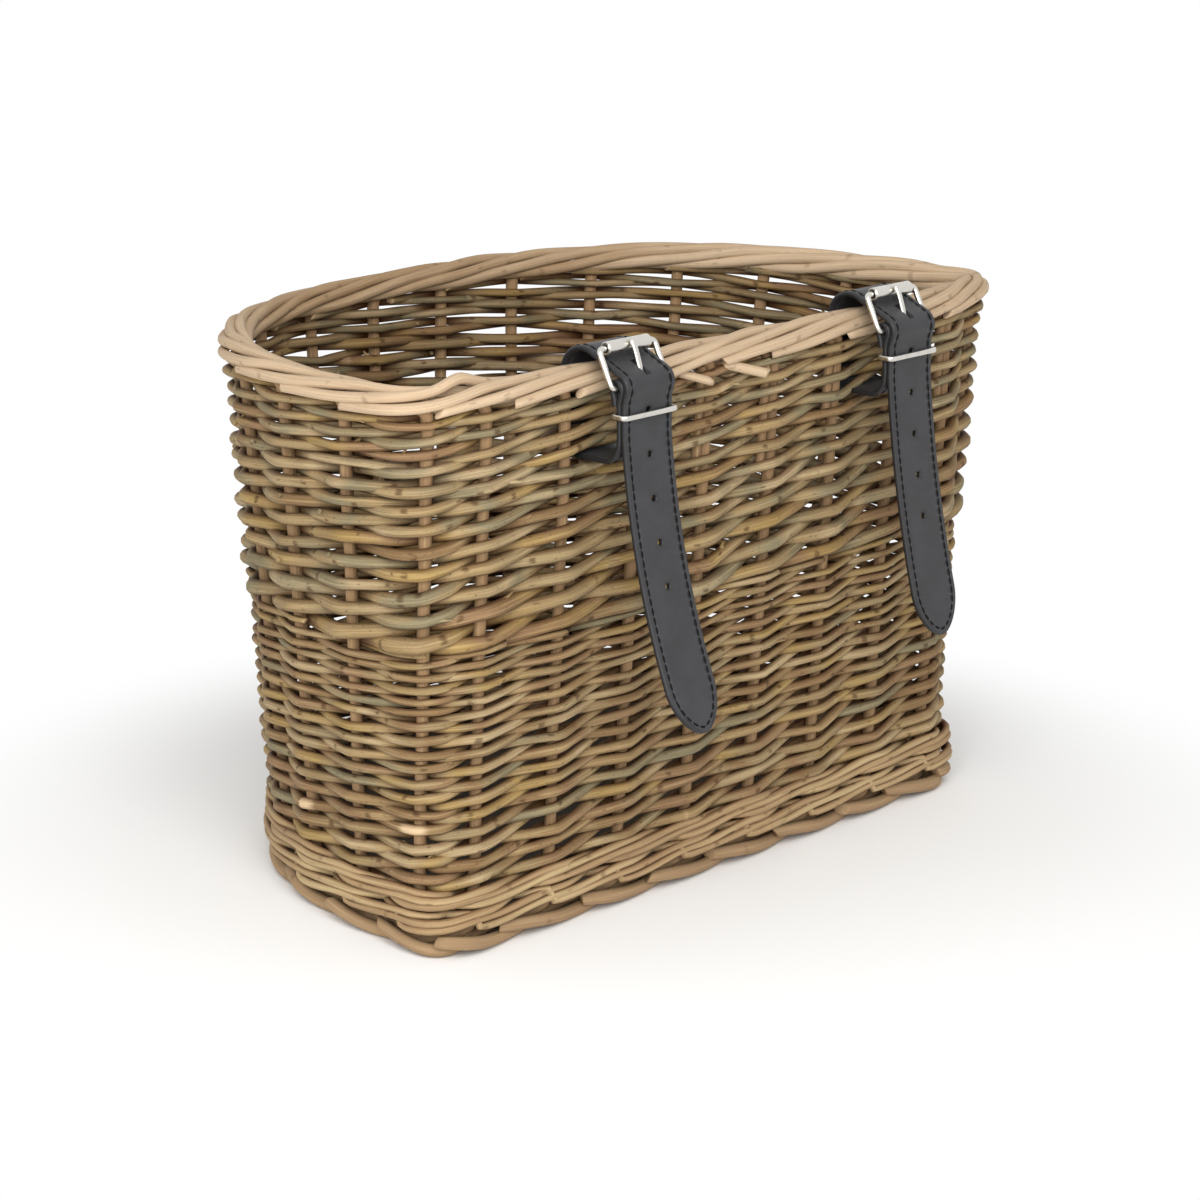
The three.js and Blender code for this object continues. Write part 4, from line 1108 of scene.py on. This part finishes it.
class StrapRun:
    """The centre line of one strap in side view, from its turned-in end to the tip of its tail."""

    # How far the fold's legs reach below the heel bar, how far down the turned-in end starts, the play between
    # layers, the bends at the slot and over the rim, and how far above the hinge the held part ends.
    FOLD_LEG = 0.0014
    END_DROP = 0.008
    PLAY = 0.0003
    SLOT_BENDS = (0.0096, 0.009)
    OVER_BEND = 0.012
    LEAD = 0.0015
    # Steps of the mesh from one hole to the next, the least step at an end, and the most turn in one step.
    HOLE_STEPS = 12
    LEAST_STEP = 0.0004
    MOST_TURN = math.radians(9)
    # The tail's point: the degrees that the mesh steps through round it, the share of its length where it
    # stops narrowing, and the powers of its curve.
    TIP_DEGREES = np.arange(0, 86, 5)
    TIP_LAST = 0.995
    TIP_POWERS = (1.8, 0.6)

    def __init__(self, side):
        self.seat = wall(STRAP_PLACES[side], RIM_CENTRE)
        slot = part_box(f"{side}_strap")[0].z + LEATHER / 2
        turn_out = HEEL[0] + TURN_RADIUS
        fold_end = HEEL[1] - self.FOLD_LEG
        merge = fold_end - 2 * LEATHER
        inner = CHAPE_OUT - LEATHER - self.PLAY
        corners = [
            (inner, HEEL[1] - self.END_DROP, 0), (inner, merge, 0),
            (HEEL[0] - FOLD_RADIUS, fold_end, 0),
            (HEEL[0] - FOLD_RADIUS, HEEL[1] + FOLD_RADIUS, FOLD_RADIUS),
            (HEEL[0] + FOLD_RADIUS, HEEL[1] + FOLD_RADIUS, FOLD_RADIUS),
            (HEEL[0] + FOLD_RADIUS, fold_end, 0),
            (CHAPE_OUT, merge, 0), (CHAPE_OUT, slot, self.SLOT_BENDS[0]),
            (-STRAP_INSIDE, slot, self.SLOT_BENDS[1]),
            (-STRAP_INSIDE, self.over(-STRAP_INSIDE), self.OVER_BEND),
            (turn_out, self.over(turn_out), TURN_RADIUS),
            (turn_out, HEEL[1] - self.PLAY, 0), (FREE_OUT, merge, 0),
            (FREE_OUT, TAIL_HINGE[1] + self.LEAD, 0),
        ]
        steps = np.linspace(0.0, TAIL_LENGTHS[side], 257)
        angle = TAIL_START + (TAIL_ENDS[side] - TAIL_START) * (steps[:-1] + steps[1:]) / 2 / steps[-1]
        ahead = np.stack([np.sin(angle), -np.cos(angle)], axis=-1) * steps[1]
        tail = TAIL_HINGE + np.concatenate([[[0.0, 0.0]], np.cumsum(ahead, axis=0)])
        held = rounded(corners)
        self.hinge_run = run_of(held)[-1] + self.LEAD
        self.line = eased(np.concatenate([held, tail]), step=0.0004, passes=4)
        self.run = run_of(self.line)
        self.tip_run = self.run[-1] - TIP_LENGTH
        along = np.gradient(self.line, axis=0)
        self.along = along / np.linalg.norm(along, axis=1)[:, None]

    @staticmethod
    def over(out):
        """Height of the run that slopes over the rim."""
        return HEEL[1] + (TURN_RADIUS - (out - HEEL[0]) * math.sin(OVER_ANGLE)) / math.cos(OVER_ANGLE)

    def place(self, run, across, lift):
        """Points on the strap: along its run, across it and lifted off its middle towards the outer face."""
        run, across, lift = np.broadcast_arrays(run, across, lift)
        out, height = (np.interp(run, self.run, part) for part in self.line.T)
        ahead, rise = (np.interp(run, self.run, part) for part in self.along.T)
        y, z = self.seat[1] - (out - rise * lift), height + ahead * lift
        return np.stack([self.seat[0] + across, y, z], axis=-1)

    def half_width(self, run):
        """Half the strap's width, which closes in a rounded point."""
        inner, outer = self.TIP_POWERS
        past = np.clip((np.asarray(run) - self.tip_run) / TIP_LENGTH, 0.0, self.TIP_LAST)
        return STRAP_HALF * (1 - past ** inner) ** outer

    def stations(self):
        """Places along the run for the mesh: even steps that meet the holes, closer together in the bends."""
        step = HOLE_PITCH / self.HOLE_STEPS
        before = int((self.hinge_run - self.LEAST_STEP) / step)
        after = int((self.tip_run - self.hinge_run - self.LEAST_STEP) / step)
        lines = [0.0, *(self.hinge_run + step * np.arange(-before, after + 1))]
        lines += list(self.tip_run + TIP_LENGTH * np.sin(np.radians(self.TIP_DEGREES)))
        dense = [lines[0]]
        for here, there in zip(lines, lines[1:]):
            ahead = [np.interp([here, there], self.run, part) for part in self.along.T]
            turn = abs(math.atan2(ahead[0][0] * ahead[1][1] - ahead[1][0] * ahead[0][1],
                                  ahead[0][0] * ahead[0][1] + ahead[1][0] * ahead[1][1]))
            parts = max(1, math.ceil(turn / self.MOST_TURN))
            dense += list(np.linspace(here, there, parts + 1)[1:])
        return np.array(dense)

    def blended(self, piece):
        """Bakes a piece's placement into its mesh."""
        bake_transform(piece)


class BASKET_OT_straps(bpy.types.Operator):
    """Cut, punch and stitch the two leather straps and buckle them over the rim"""

    bl_idname = "basket.straps"
    bl_label = "Straps"

    # Lines of the mesh along one half of the strap, in metres from its middle, and its rounded edge.
    LINES = np.array([14.4, 13.0, 12.4, 12.0, 11.6, 9.0, 6.2, 3.4, 1.7]) * 0.001
    EDGE = np.array([(14.85, 0.78), (15.0, 0.0), (14.85, -0.78)]) * 0.001
    # Of the lines: the two that the stitches lie on, and those beside the prong's slot and a punched hole.
    SEAM = [3, -4]
    SLOT = (8, 10)
    HOLE = (7, 11)
    # How many stations a hole's square reaches each way from its middle.
    HOLE_REACH = 2
    # The prong's slots: how near the fold they keep, and between which degrees of the turn over the heel bar.
    FOLD_ROOM = 0.0012
    TURN_DEGREES = (42, 122)
    # How much wider a hole is at the faces, and the share of the thickness between its rims.
    FLARE = 0.00035
    WAIST = 0.7
    # The stitches: distance from the strap's middle, start, distance from the tip, thickness, share of thread.
    STITCH_LINE = 0.012
    STITCH_START = 0.003
    STITCH_END = 0.0028
    THREAD = 0.0012
    STITCH_FILL = 0.8
    # A stitch lies this far above the groove's floor, arches up between its ends and sinks in as a whole.
    STITCH_BED = 0.0002
    STITCH_ARCH = 0.0004
    STITCH_SINK = 0.0003

    def execute(self, context):
        looks = context.scene.basket_straps
        leather, thread = leather_finish(), thread_finish()
        for side in SIDES:
            run = StrapRun(side)
            strap = self.strap_mesh(run, side, looks, leather)
            run.blended(strap)
            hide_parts(f"{side}_strap", f"{side}_strap_tail")
            stitches = self.stitching(run, side, looks, thread)
            run.blended(stitches)
        return {"FINISHED"}

    def profile(self, groove):
        """The strap's section: across, lift, and the dark of its cut edge and of painted shade in its grooves.
        """
        across = np.concatenate([-self.LINES, [0.0], self.LINES[::-1]])
        face = np.full(len(across), LEATHER / 2)
        face[self.SEAM] -= groove
        rim = np.zeros(len(across))
        rim[[0, -1]] = 0.4
        # The stitch grooves are darkened as painted shade.
        seam = rim.copy()
        seam[self.SEAM] = 1.0
        out, up = self.EDGE.T
        lift = np.concatenate([face, up, -face[::-1], -up])
        edge = np.concatenate([seam, np.ones(3), rim, np.ones(3)])
        return np.concatenate([across, out, across[::-1], -out]), lift, edge, len(across)

    def strap_mesh(self, run, side, looks, leather):
        """The leather itself: its section carried along the run, slotted for the prong and punched."""
        across, lift, edge, lines = self.profile(looks.groove)
        stations = run.stations()
        scale = run.half_width(stations) / STRAP_HALF
        around = len(across)
        points = list(run.place(stations[:, None], across[None] * scale[:, None], lift[None]).reshape(-1, 3))
        grain = [(s, a, h) for s, w in zip(stations, scale) for a, h in zip(across * w, lift)]
        rims = list(np.tile(edge, len(stations)))
        top = list(range(lines))
        bottom = [2 * lines + 2 - j for j in range(lines)]
        open_cells = set()
        faces = []
        for start, end in self.slots(run, stations):
            open_cells.update((i, c) for i in range(start, end) for c in range(*self.SLOT))
            for i in range(start, end):
                for line in self.SLOT:
                    faces.append([i * around + top[line], (i + 1) * around + top[line],
                                  (i + 1) * around + bottom[line], i * around + bottom[line]])
            for i in (start, end):
                for c in range(*self.SLOT):
                    faces.append([i * around + top[c], i * around + top[c + 1],
                                  i * around + bottom[c + 1], i * around + bottom[c]])
        for distance in HOLE_PITCH * (np.arange(-1, TAIL_HOLES) + FIRST_HOLE):
            middle = int(np.argmin(np.abs(stations - run.hinge_run - distance)))
            for i in range(middle - self.HOLE_REACH, middle + self.HOLE_REACH):
                open_cells.update((i, c) for c in range(*self.HOLE))
            gathered = points, grain, rims, faces
            self.punch(run, stations, middle, (around, top, bottom), looks.hole / 2, gathered)
        for i in range(len(stations) - 1):
            for m in range(around):
                column = m if m < lines - 1 else 2 * lines + 1 - m
                on_face = m < lines - 1 or lines + 3 <= m < 2 * lines + 2
                if on_face and (i, column) in open_cells:
                    continue
                here, beside = i * around + m, i * around + (m + 1) % around
                faces.append([here, here + around, beside + around, beside])
        faces.append(list(range(around)))
        last = (len(stations) - 1) * around
        faces.append([last + m for m in range(around)][::-1])
        mesh = bpy.data.meshes.new(f"{side}_leather_strap")
        mesh.from_pydata([tuple(p) for p in points], [], faces)
        set_vectors(mesh, "grain", grain)
        set_values(mesh, "edge", rims)
        turn_faces_out(mesh)
        return placed(mesh, leather, sharp=50)

    def slots(self, run, stations):
        """Ranges of stations that are slotted for the prong: round the fold, and above the heel bar."""
        out, height = (np.interp(stations, run.run, part) for part in run.line.T)
        far = np.hypot(out - HEEL[0], height - HEEL[1])
        angle = np.degrees(np.arctan2(height - HEEL[1], out - HEEL[0]))
        early = stations < run.hinge_run / 2
        fold = np.flatnonzero(early & (far < FOLD_RADIUS + self.FOLD_ROOM))
        low, high = self.TURN_DEGREES
        turn = np.flatnonzero(~early & (far < 2 * TURN_RADIUS) & (angle > low) & (angle < high))
        return [(int(rows[0]), int(rows[-1])) for rows in (fold, turn)]

    def punch(self, run, stations, middle, grid, radius, gathered):
        """A round hole through the strap, set into a square of the mesh."""
        around, top, bottom = grid
        points, grain, rims, faces = gathered
        low, high = self.HOLE
        rows = range(middle - self.HOLE_REACH, middle + self.HOLE_REACH + 1)
        square = [(rows[0], c) for c in range(low, high)] + [(r, high) for r in rows[:-1]]
        square += [(rows[-1], c) for c in range(high, low, -1)] + [(r, low) for r in rows[:0:-1]]
        lines = np.concatenate([-self.LINES, [0.0], self.LINES[::-1]])
        angle = [math.atan2(stations[r] - stations[middle], lines[c]) for r, c in square]
        loops = []
        flared = radius + self.FLARE
        for size, lift in ((flared, 1.0), (radius, self.WAIST), (radius, -self.WAIST), (flared, -1.0)):
            ring_run = stations[middle] + size * np.sin(angle)
            ring_across = size * np.cos(angle)
            base = len(points)
            points.extend(run.place(ring_run, ring_across, lift * LEATHER / 2))
            grain.extend(zip(ring_run, ring_across, np.full(len(angle), lift * LEATHER / 2)))
            rims.extend([0.5 if abs(lift) == 1.0 else 1.0] * len(angle))
            loops.append([base + k for k in range(len(angle))])
        outer = [[r * around + face[c] for r, c in square] for face in (top, bottom)]
        chain = [outer[0], *loops, outer[1]]
        for here, there in zip(chain, chain[1:]):
            for k in range(len(angle)):
                beside = (k + 1) % len(angle)
                faces.append([here[k], here[beside], there[beside], there[k]])

    def stitching(self, run, side, looks, thread):
        """Stitches down one edge of the outer face, round the tip and up the other edge."""
        rods = Rods(sides=6, seed=50 if side == "left" else 60)
        bed = LEATHER / 2 - looks.groove + self.STITCH_BED
        end = run.run[-1] - self.STITCH_END
        round_tip = np.sin(np.linspace(0, np.pi / 2, 60))[1:]
        down = np.concatenate([np.linspace(self.STITCH_START, run.tip_run, 200),
                               run.tip_run + (end - run.tip_run) * round_tip])
        inset = run.tip_run + np.maximum(0.0, down - run.tip_run) * TIP_LENGTH / (end - run.tip_run)
        wide = self.STITCH_LINE * run.half_width(inset) / STRAP_HALF
        line = np.stack([np.append(down, down[::-1]), np.append(-wide, wide[::-1])], axis=-1)
        sewn = run_of(line)
        for at in np.arange(0.0, sewn[-1] - looks.stitch, looks.stitch):
            steps = np.linspace(at, at + looks.stitch * self.STITCH_FILL, 6)
            along, across = (np.interp(steps, sewn, part) for part in line.T)
            lift = bed + self.STITCH_ARCH * np.sin(np.linspace(0, np.pi, 6)) - self.STITCH_SINK
            rods.add(run.place(along, across, lift), self.THREAD)
        return rods.build(f"{side}_strap_stitches", thread)


def wire_loop(half_width, reach, corner):
    """A rounded rectangle as (across, along), starting and ending at the middle of its first bar."""
    corners = [(0.0, 0.0, 0), (half_width, 0.0, corner), (half_width, reach, corner),
               (-half_width, reach, corner), (-half_width, 0.0, corner), (-0.0001, 0.0, 0)]
    return eased(rounded(corners), step=0.0006, passes=1)


def beside_heel(along, out):
    """A point in side view measured from the heel bar, along the buckle and off its face."""
    c, s = math.cos(BUCKLE_TILT), math.sin(BUCKLE_TILT)
    return HEEL + np.multiply.outer(along, [-c, s]) + np.multiply.outer(out, [s, c])


def in_side_view(side, points, across=0.0):
    """Side view points of one strap's buckle as points in the basket."""
    seat = wall(STRAP_PLACES[side], RIM_CENTRE)
    points = np.asarray(points)
    across = np.broadcast_to(across, points.shape[:-1])
    return np.stack([seat[0] + across, seat[1] - points[..., 0], points[..., 1]], axis=-1)


class BASKET_OT_buckles(bpy.types.Operator):
    """Bend the buckle frames, roll the rollers and forge the prongs"""

    bl_idname = "basket.buckles"
    bl_label = "Buckles"

    FRAME_HALF = 0.017
    FRAME_CORNER = 0.0022
    # The roller: play round the wire, half the open seam and where it lies, eased ends and how much of that
    # the bore takes, the place of a ring of points near each end, and points round it.
    ROLLER_PLAY = 0.00045
    SEAM = 0.00016
    SEAM_TURN = math.radians(150)
    ROLLER_EASE = 0.0003
    BORE_EASE = 0.3
    END_RING = 0.002
    ROLLER_POINTS = 33
    # The prong: its middle's distance from what it lies on, how far it wraps round the heel bar, how far its
    # nose reaches past the roller and droops, its thickness and the length of its rounded nose.
    PRONG_LIFT = 0.0014
    WRAP = 300
    NOSE = (0.0022, 0.0007)
    PRONG_THICKNESS = 0.0019
    NOSE_ROUND = 0.003

    def execute(self, context):
        looks = context.scene.basket_metal
        nickel = nickel_finish()
        for index, side in enumerate(SIDES):
            rods = Rods(sides=14, seed=70 + index)
            across, along = wire_loop(self.FRAME_HALF, BUCKLE_LENGTH, self.FRAME_CORNER).T
            rods.add(in_side_view(side, beside_heel(along, 0.0 * along), across), looks.frame_wire)
            self.fit(rods.build(f"{side}_frame_wire", nickel), side, "frame", "buckle_frame")
            self.fit(self.roller(side, looks, nickel), side, "roller", "buckle_roller")
            rods = Rods(sides=14, seed=80 + index)
            self.add_prong(rods, side, looks)
            self.fit(rods.build(f"{side}_prong_bar", nickel), side, "prong", "buckle_prong")
        return {"FINISHED"}

    @staticmethod
    def fit(piece, side, body, node):
        """Sets a piece of a buckle on its body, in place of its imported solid."""
        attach(piece, f"{side}_{body}")
        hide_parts(f"{side}_{node}")

    def roller(self, side, looks, nickel):
        """A tube rolled from sheet, with the seam where its edges meet."""
        outer, inner = looks.roller / 2, looks.frame_wire / 2 + self.ROLLER_PLAY
        turn = np.linspace(self.SEAM / outer, 2 * np.pi - self.SEAM / outer, self.ROLLER_POINTS)
        section = [(outer, angle) for angle in turn] + [(inner, angle) for angle in turn[::-1]]
        half, ease = looks.roller_length / 2, self.ROLLER_EASE
        stations = [(-half, ease), (-half + ease, 0.0), (-half + self.END_RING, 0.0), (0.0, 0.0),
                    (half - self.END_RING, 0.0), (half - ease, 0.0), (half, ease)]
        axis = beside_heel(BUCKLE_LENGTH, 0.0)
        points, grain = [], []
        for across, inset in stations:
            for radius, angle in section:
                size = radius - inset if radius > inner else radius + inset * self.BORE_EASE
                at = angle + self.SEAM_TURN
                spot = axis + size * np.array([math.cos(at), math.sin(at)])
                points.append(in_side_view(side, spot, across))
                grain.append((across, size * math.cos(angle), size * math.sin(angle)))
        around = len(section)
        faces = ring_faces(len(stations), around)
        for base in (0, (len(stations) - 1) * around):
            for k in range(self.ROLLER_POINTS - 1):
                faces.append([base + k, base + k + 1, base + around - 2 - k, base + around - 1 - k])
        mesh = bpy.data.meshes.new(f"{side}_roller_tube")
        mesh.from_pydata([tuple(p) for p in points], [], faces)
        set_vectors(mesh, "grain", grain)
        turn_faces_out(mesh)
        return placed(mesh, nickel, sharp=40)

    def add_prong(self, rods, side, looks):
        """A flat bar wrapped round the heel bar, lying across the roller."""
        eye, rest = (size / 2 + self.PRONG_LIFT for size in (looks.frame_wire, looks.roller))
        turn = np.radians(np.linspace(90 + self.WRAP, 90, 40))
        wrap = beside_heel(eye * np.cos(turn), eye * np.sin(turn))
        reach = np.linspace(0.0, 1.0, 24)[1:]
        arm = beside_heel(BUCKLE_LENGTH * reach, eye + (rest - eye) * smooth(reach))
        past = np.linspace(0.0, 1.0, 8)[1:]
        nose = beside_heel(BUCKLE_LENGTH + self.NOSE[0] * past, rest - self.NOSE[1] * past ** 2)
        path = in_side_view(side, np.concatenate([wrap, arm, nose]))
        path = eased(path, step=0.0004, passes=3)
        run = run_of(path)
        left = (run[-1] - run) / self.NOSE_ROUND
        taper = np.where(left < 1, np.sqrt(np.clip(1 - (1 - left) ** 2, 0.1, 1.0)), 1.0)
        rods.add(path, self.PRONG_THICKNESS * taper, width=looks.prong * taper, across=ACROSS, square=0.7)


class BASKET_OT_keepers(bpy.types.Operator):
    """Bend the wire keepers that hold the straps' free ends"""

    bl_idname = "basket.keepers"
    bl_label = "Keepers"

    HALF = 0.0162
    CORNER = 0.0019
    THICKNESS = 0.0019

    def execute(self, context):
        looks = context.scene.basket_metal
        nickel = bpy.data.materials["nickel_plate"]
        for index, side in enumerate(SIDES):
            across, along = wire_loop(self.HALF, KEEPER_FRONT - KEEPER_BACK, self.CORNER).T
            height = np.full(len(along), RIM_CENTRE - KEEPER_DROP)
            spots = np.stack([KEEPER_BACK + along, height], axis=-1)
            rods = Rods(sides=14, seed=90 + index)
            rods.add(in_side_view(side, spots, across), self.THICKNESS, width=looks.keeper_wire, across=UP,
                     square=0.8)
            keeper = rods.build(f"{side}_keeper_wire", nickel)
            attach(keeper, f"{side}_keeper")
            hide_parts(f"{side}_strap_keeper")
        return {"FINISHED"}


class BASKET_OT_stage(bpy.types.Operator):
    """Set the pale floor, the soft lamps and the camera"""

    bl_idname = "basket.stage"
    bl_label = "Stage"

    # The point that the camera is set out from, and how far right of it and below it the camera aims.
    TARGET = Vector((0.0, 0.0348, 0.130))
    AIM_RIGHT = 0.0218
    AIM_DOWN = 0.0197
    # The floor keeps the basket's shadow and fades to white between these distances.
    FADE = (0.22, 0.38)
    FLOOR_HALF = 40.0
    SENSOR = 36.0
    WHITE = (1.0, 1.0, 1.0, 1.0)

    def execute(self, context):
        looks = context.scene.basket_stage
        context.scene.view_settings.view_transform = "Standard"
        self.floor(looks)
        self.sky(context.scene, looks)
        self.lamp("key_lamp", spot=(-1.0, -1.2, 1.1), power=looks.key, size=1.3)
        self.lamp("fill_lamp", spot=(-1.5, -0.5, 0.6), power=looks.fill, size=1.2)
        self.camera(context.scene, looks)
        return {"FINISHED"}

    @staticmethod
    def seen_directly(finish):
        """1 for rays from the camera, a reflection or glass, 0 for the light that falls on things."""
        rays = [finish.node("ShaderNodeLightPath", {}, {}, name)
                for name in ("Is Camera Ray", "Is Glossy Ray", "Is Transmission Ray")]
        return (rays[0] + rays[1] + rays[2]).clamped()

    def floor(self, looks):
        """A pale floor that shows white away from the basket."""
        mesh = bpy.data.meshes.new("floor")
        half = self.FLOOR_HALF
        corners = [(x * half, y * half, 0) for x, y in ((-1, -1), (1, -1), (1, 1), (-1, 1))]
        mesh.from_pydata(corners, [], [(0, 1, 2, 3)])
        finish = Finish.material("pale_floor")
        where = finish.node("ShaderNodeNewGeometry", {}, {}, "Position")
        away = finish.node("ShaderNodeVectorMath", {"operation": "LENGTH"}, {0: where}, "Value")
        far = finish.band(away, *self.FADE) * self.seen_directly(finish)
        lit = finish.node("ShaderNodeBsdfDiffuse", {}, {"Color": rgba(looks.floor)})
        white = finish.node("ShaderNodeEmission", {}, {"Color": self.WHITE, "Strength": 1.0})
        blend = finish.node("ShaderNodeMixShader", {}, {0: far, 1: lit, 2: white})
        finish.node("ShaderNodeOutputMaterial", {}, {"Surface": blend})
        floor = placed(mesh, finish.made)

    def sky(self, scene, looks):
        """Even light from all round, which looks white itself."""
        world = bpy.data.worlds.new("studio")
        world.use_nodes = True
        scene.world = world
        finish = Finish(world.node_tree)
        light, white = (finish.node("ShaderNodeBackground", {}, {"Color": self.WHITE, "Strength": strength})
                        for strength in (looks.sky, 1.0))
        blend = finish.node("ShaderNodeMixShader", {}, {0: self.seen_directly(finish), 1: light, 2: white})
        finish.node("ShaderNodeOutputWorld", {}, {"Surface": blend})

    def lamp(self, name, spot, power, size):
        """A square soft lamp that faces the basket."""
        light = bpy.data.lights.new(name, "AREA")
        light.energy = power
        light.size = size
        made = bpy.data.objects.new(name, light)
        made.location = spot
        made.rotation_mode = "QUATERNION"
        made.rotation_quaternion = (self.TARGET - Vector(spot)).to_track_quat("-Z", "Y")
        bpy.context.scene.collection.objects.link(made)

    def camera(self, scene, looks):
        """The camera, out from the target and aimed so that the basket sits a little left and high."""
        a, e = looks.azimuth, looks.elevation
        back = Vector((math.sin(a) * math.cos(e), -math.cos(a) * math.cos(e), math.sin(e)))
        right = Vector((math.cos(a), math.sin(a), 0.0))
        up = back.cross(right)
        lens = bpy.data.cameras.new("camera")
        lens.lens = looks.lens
        lens.sensor_width = self.SENSOR
        made = bpy.data.objects.new("camera", lens)
        made.location = self.TARGET + back * looks.distance
        aim = self.TARGET + right * self.AIM_RIGHT - up * self.AIM_DOWN
        made.rotation_mode = "QUATERNION"
        made.rotation_quaternion = (aim - made.location).to_track_quat("-Z", "Y")
        scene.collection.objects.link(made)
        scene.camera = made


class BASKET_PT_panel(bpy.types.Panel):
    """Sizes, colours and the steps of making the basket"""

    bl_label = "Willow basket"
    bl_idname = "BASKET_PT_panel"
    bl_space_type = "VIEW_3D"
    bl_region_type = "UI"
    bl_category = "Basket"

    def draw(self, context):
        for name in PROPERTY_GROUPS:
            box = self.layout.box()
            group = getattr(context.scene, name)
            for key in group.__annotations__:
                box.prop(group, key)
        for operator in OPERATORS:
            self.layout.operator(operator.bl_idname)


PROPERTY_GROUPS = {
    "basket_sizes": WillowSizes,
    "basket_colours": WillowColours,
    "basket_straps": StrapLooks,
    "basket_metal": MetalLooks,
    "basket_stage": StageLooks,
}
OPERATORS = (BASKET_OT_base_board, BASKET_OT_stakes, BASKET_OT_wale, BASKET_OT_weave, BASKET_OT_straps,
             BASKET_OT_buckles, BASKET_OT_keepers, BASKET_OT_stage)


def register():
    for group in PROPERTY_GROUPS.values():
        bpy.utils.register_class(group)
    for name, group in PROPERTY_GROUPS.items():
        setattr(bpy.types.Scene, name, PointerProperty(type=group))
    for part in (*OPERATORS, BASKET_PT_panel):
        bpy.utils.register_class(part)


def unregister():
    for part in (BASKET_PT_panel, *reversed(OPERATORS)):
        bpy.utils.unregister_class(part)
    for name, group in reversed(PROPERTY_GROUPS.items()):
        delattr(bpy.types.Scene, name)
        bpy.utils.unregister_class(group)


def main():
    register()
    bpy.ops.basket.base_board()
    bpy.ops.basket.stakes()
    bpy.ops.basket.wale()
    bpy.ops.basket.weave(band="lower")
    bpy.ops.basket.weave(band="upper")
    bpy.ops.basket.straps()
    bpy.ops.basket.buckles()
    bpy.ops.basket.keepers()
    bpy.ops.basket.stage()


if __name__ == "__main__":
    main()
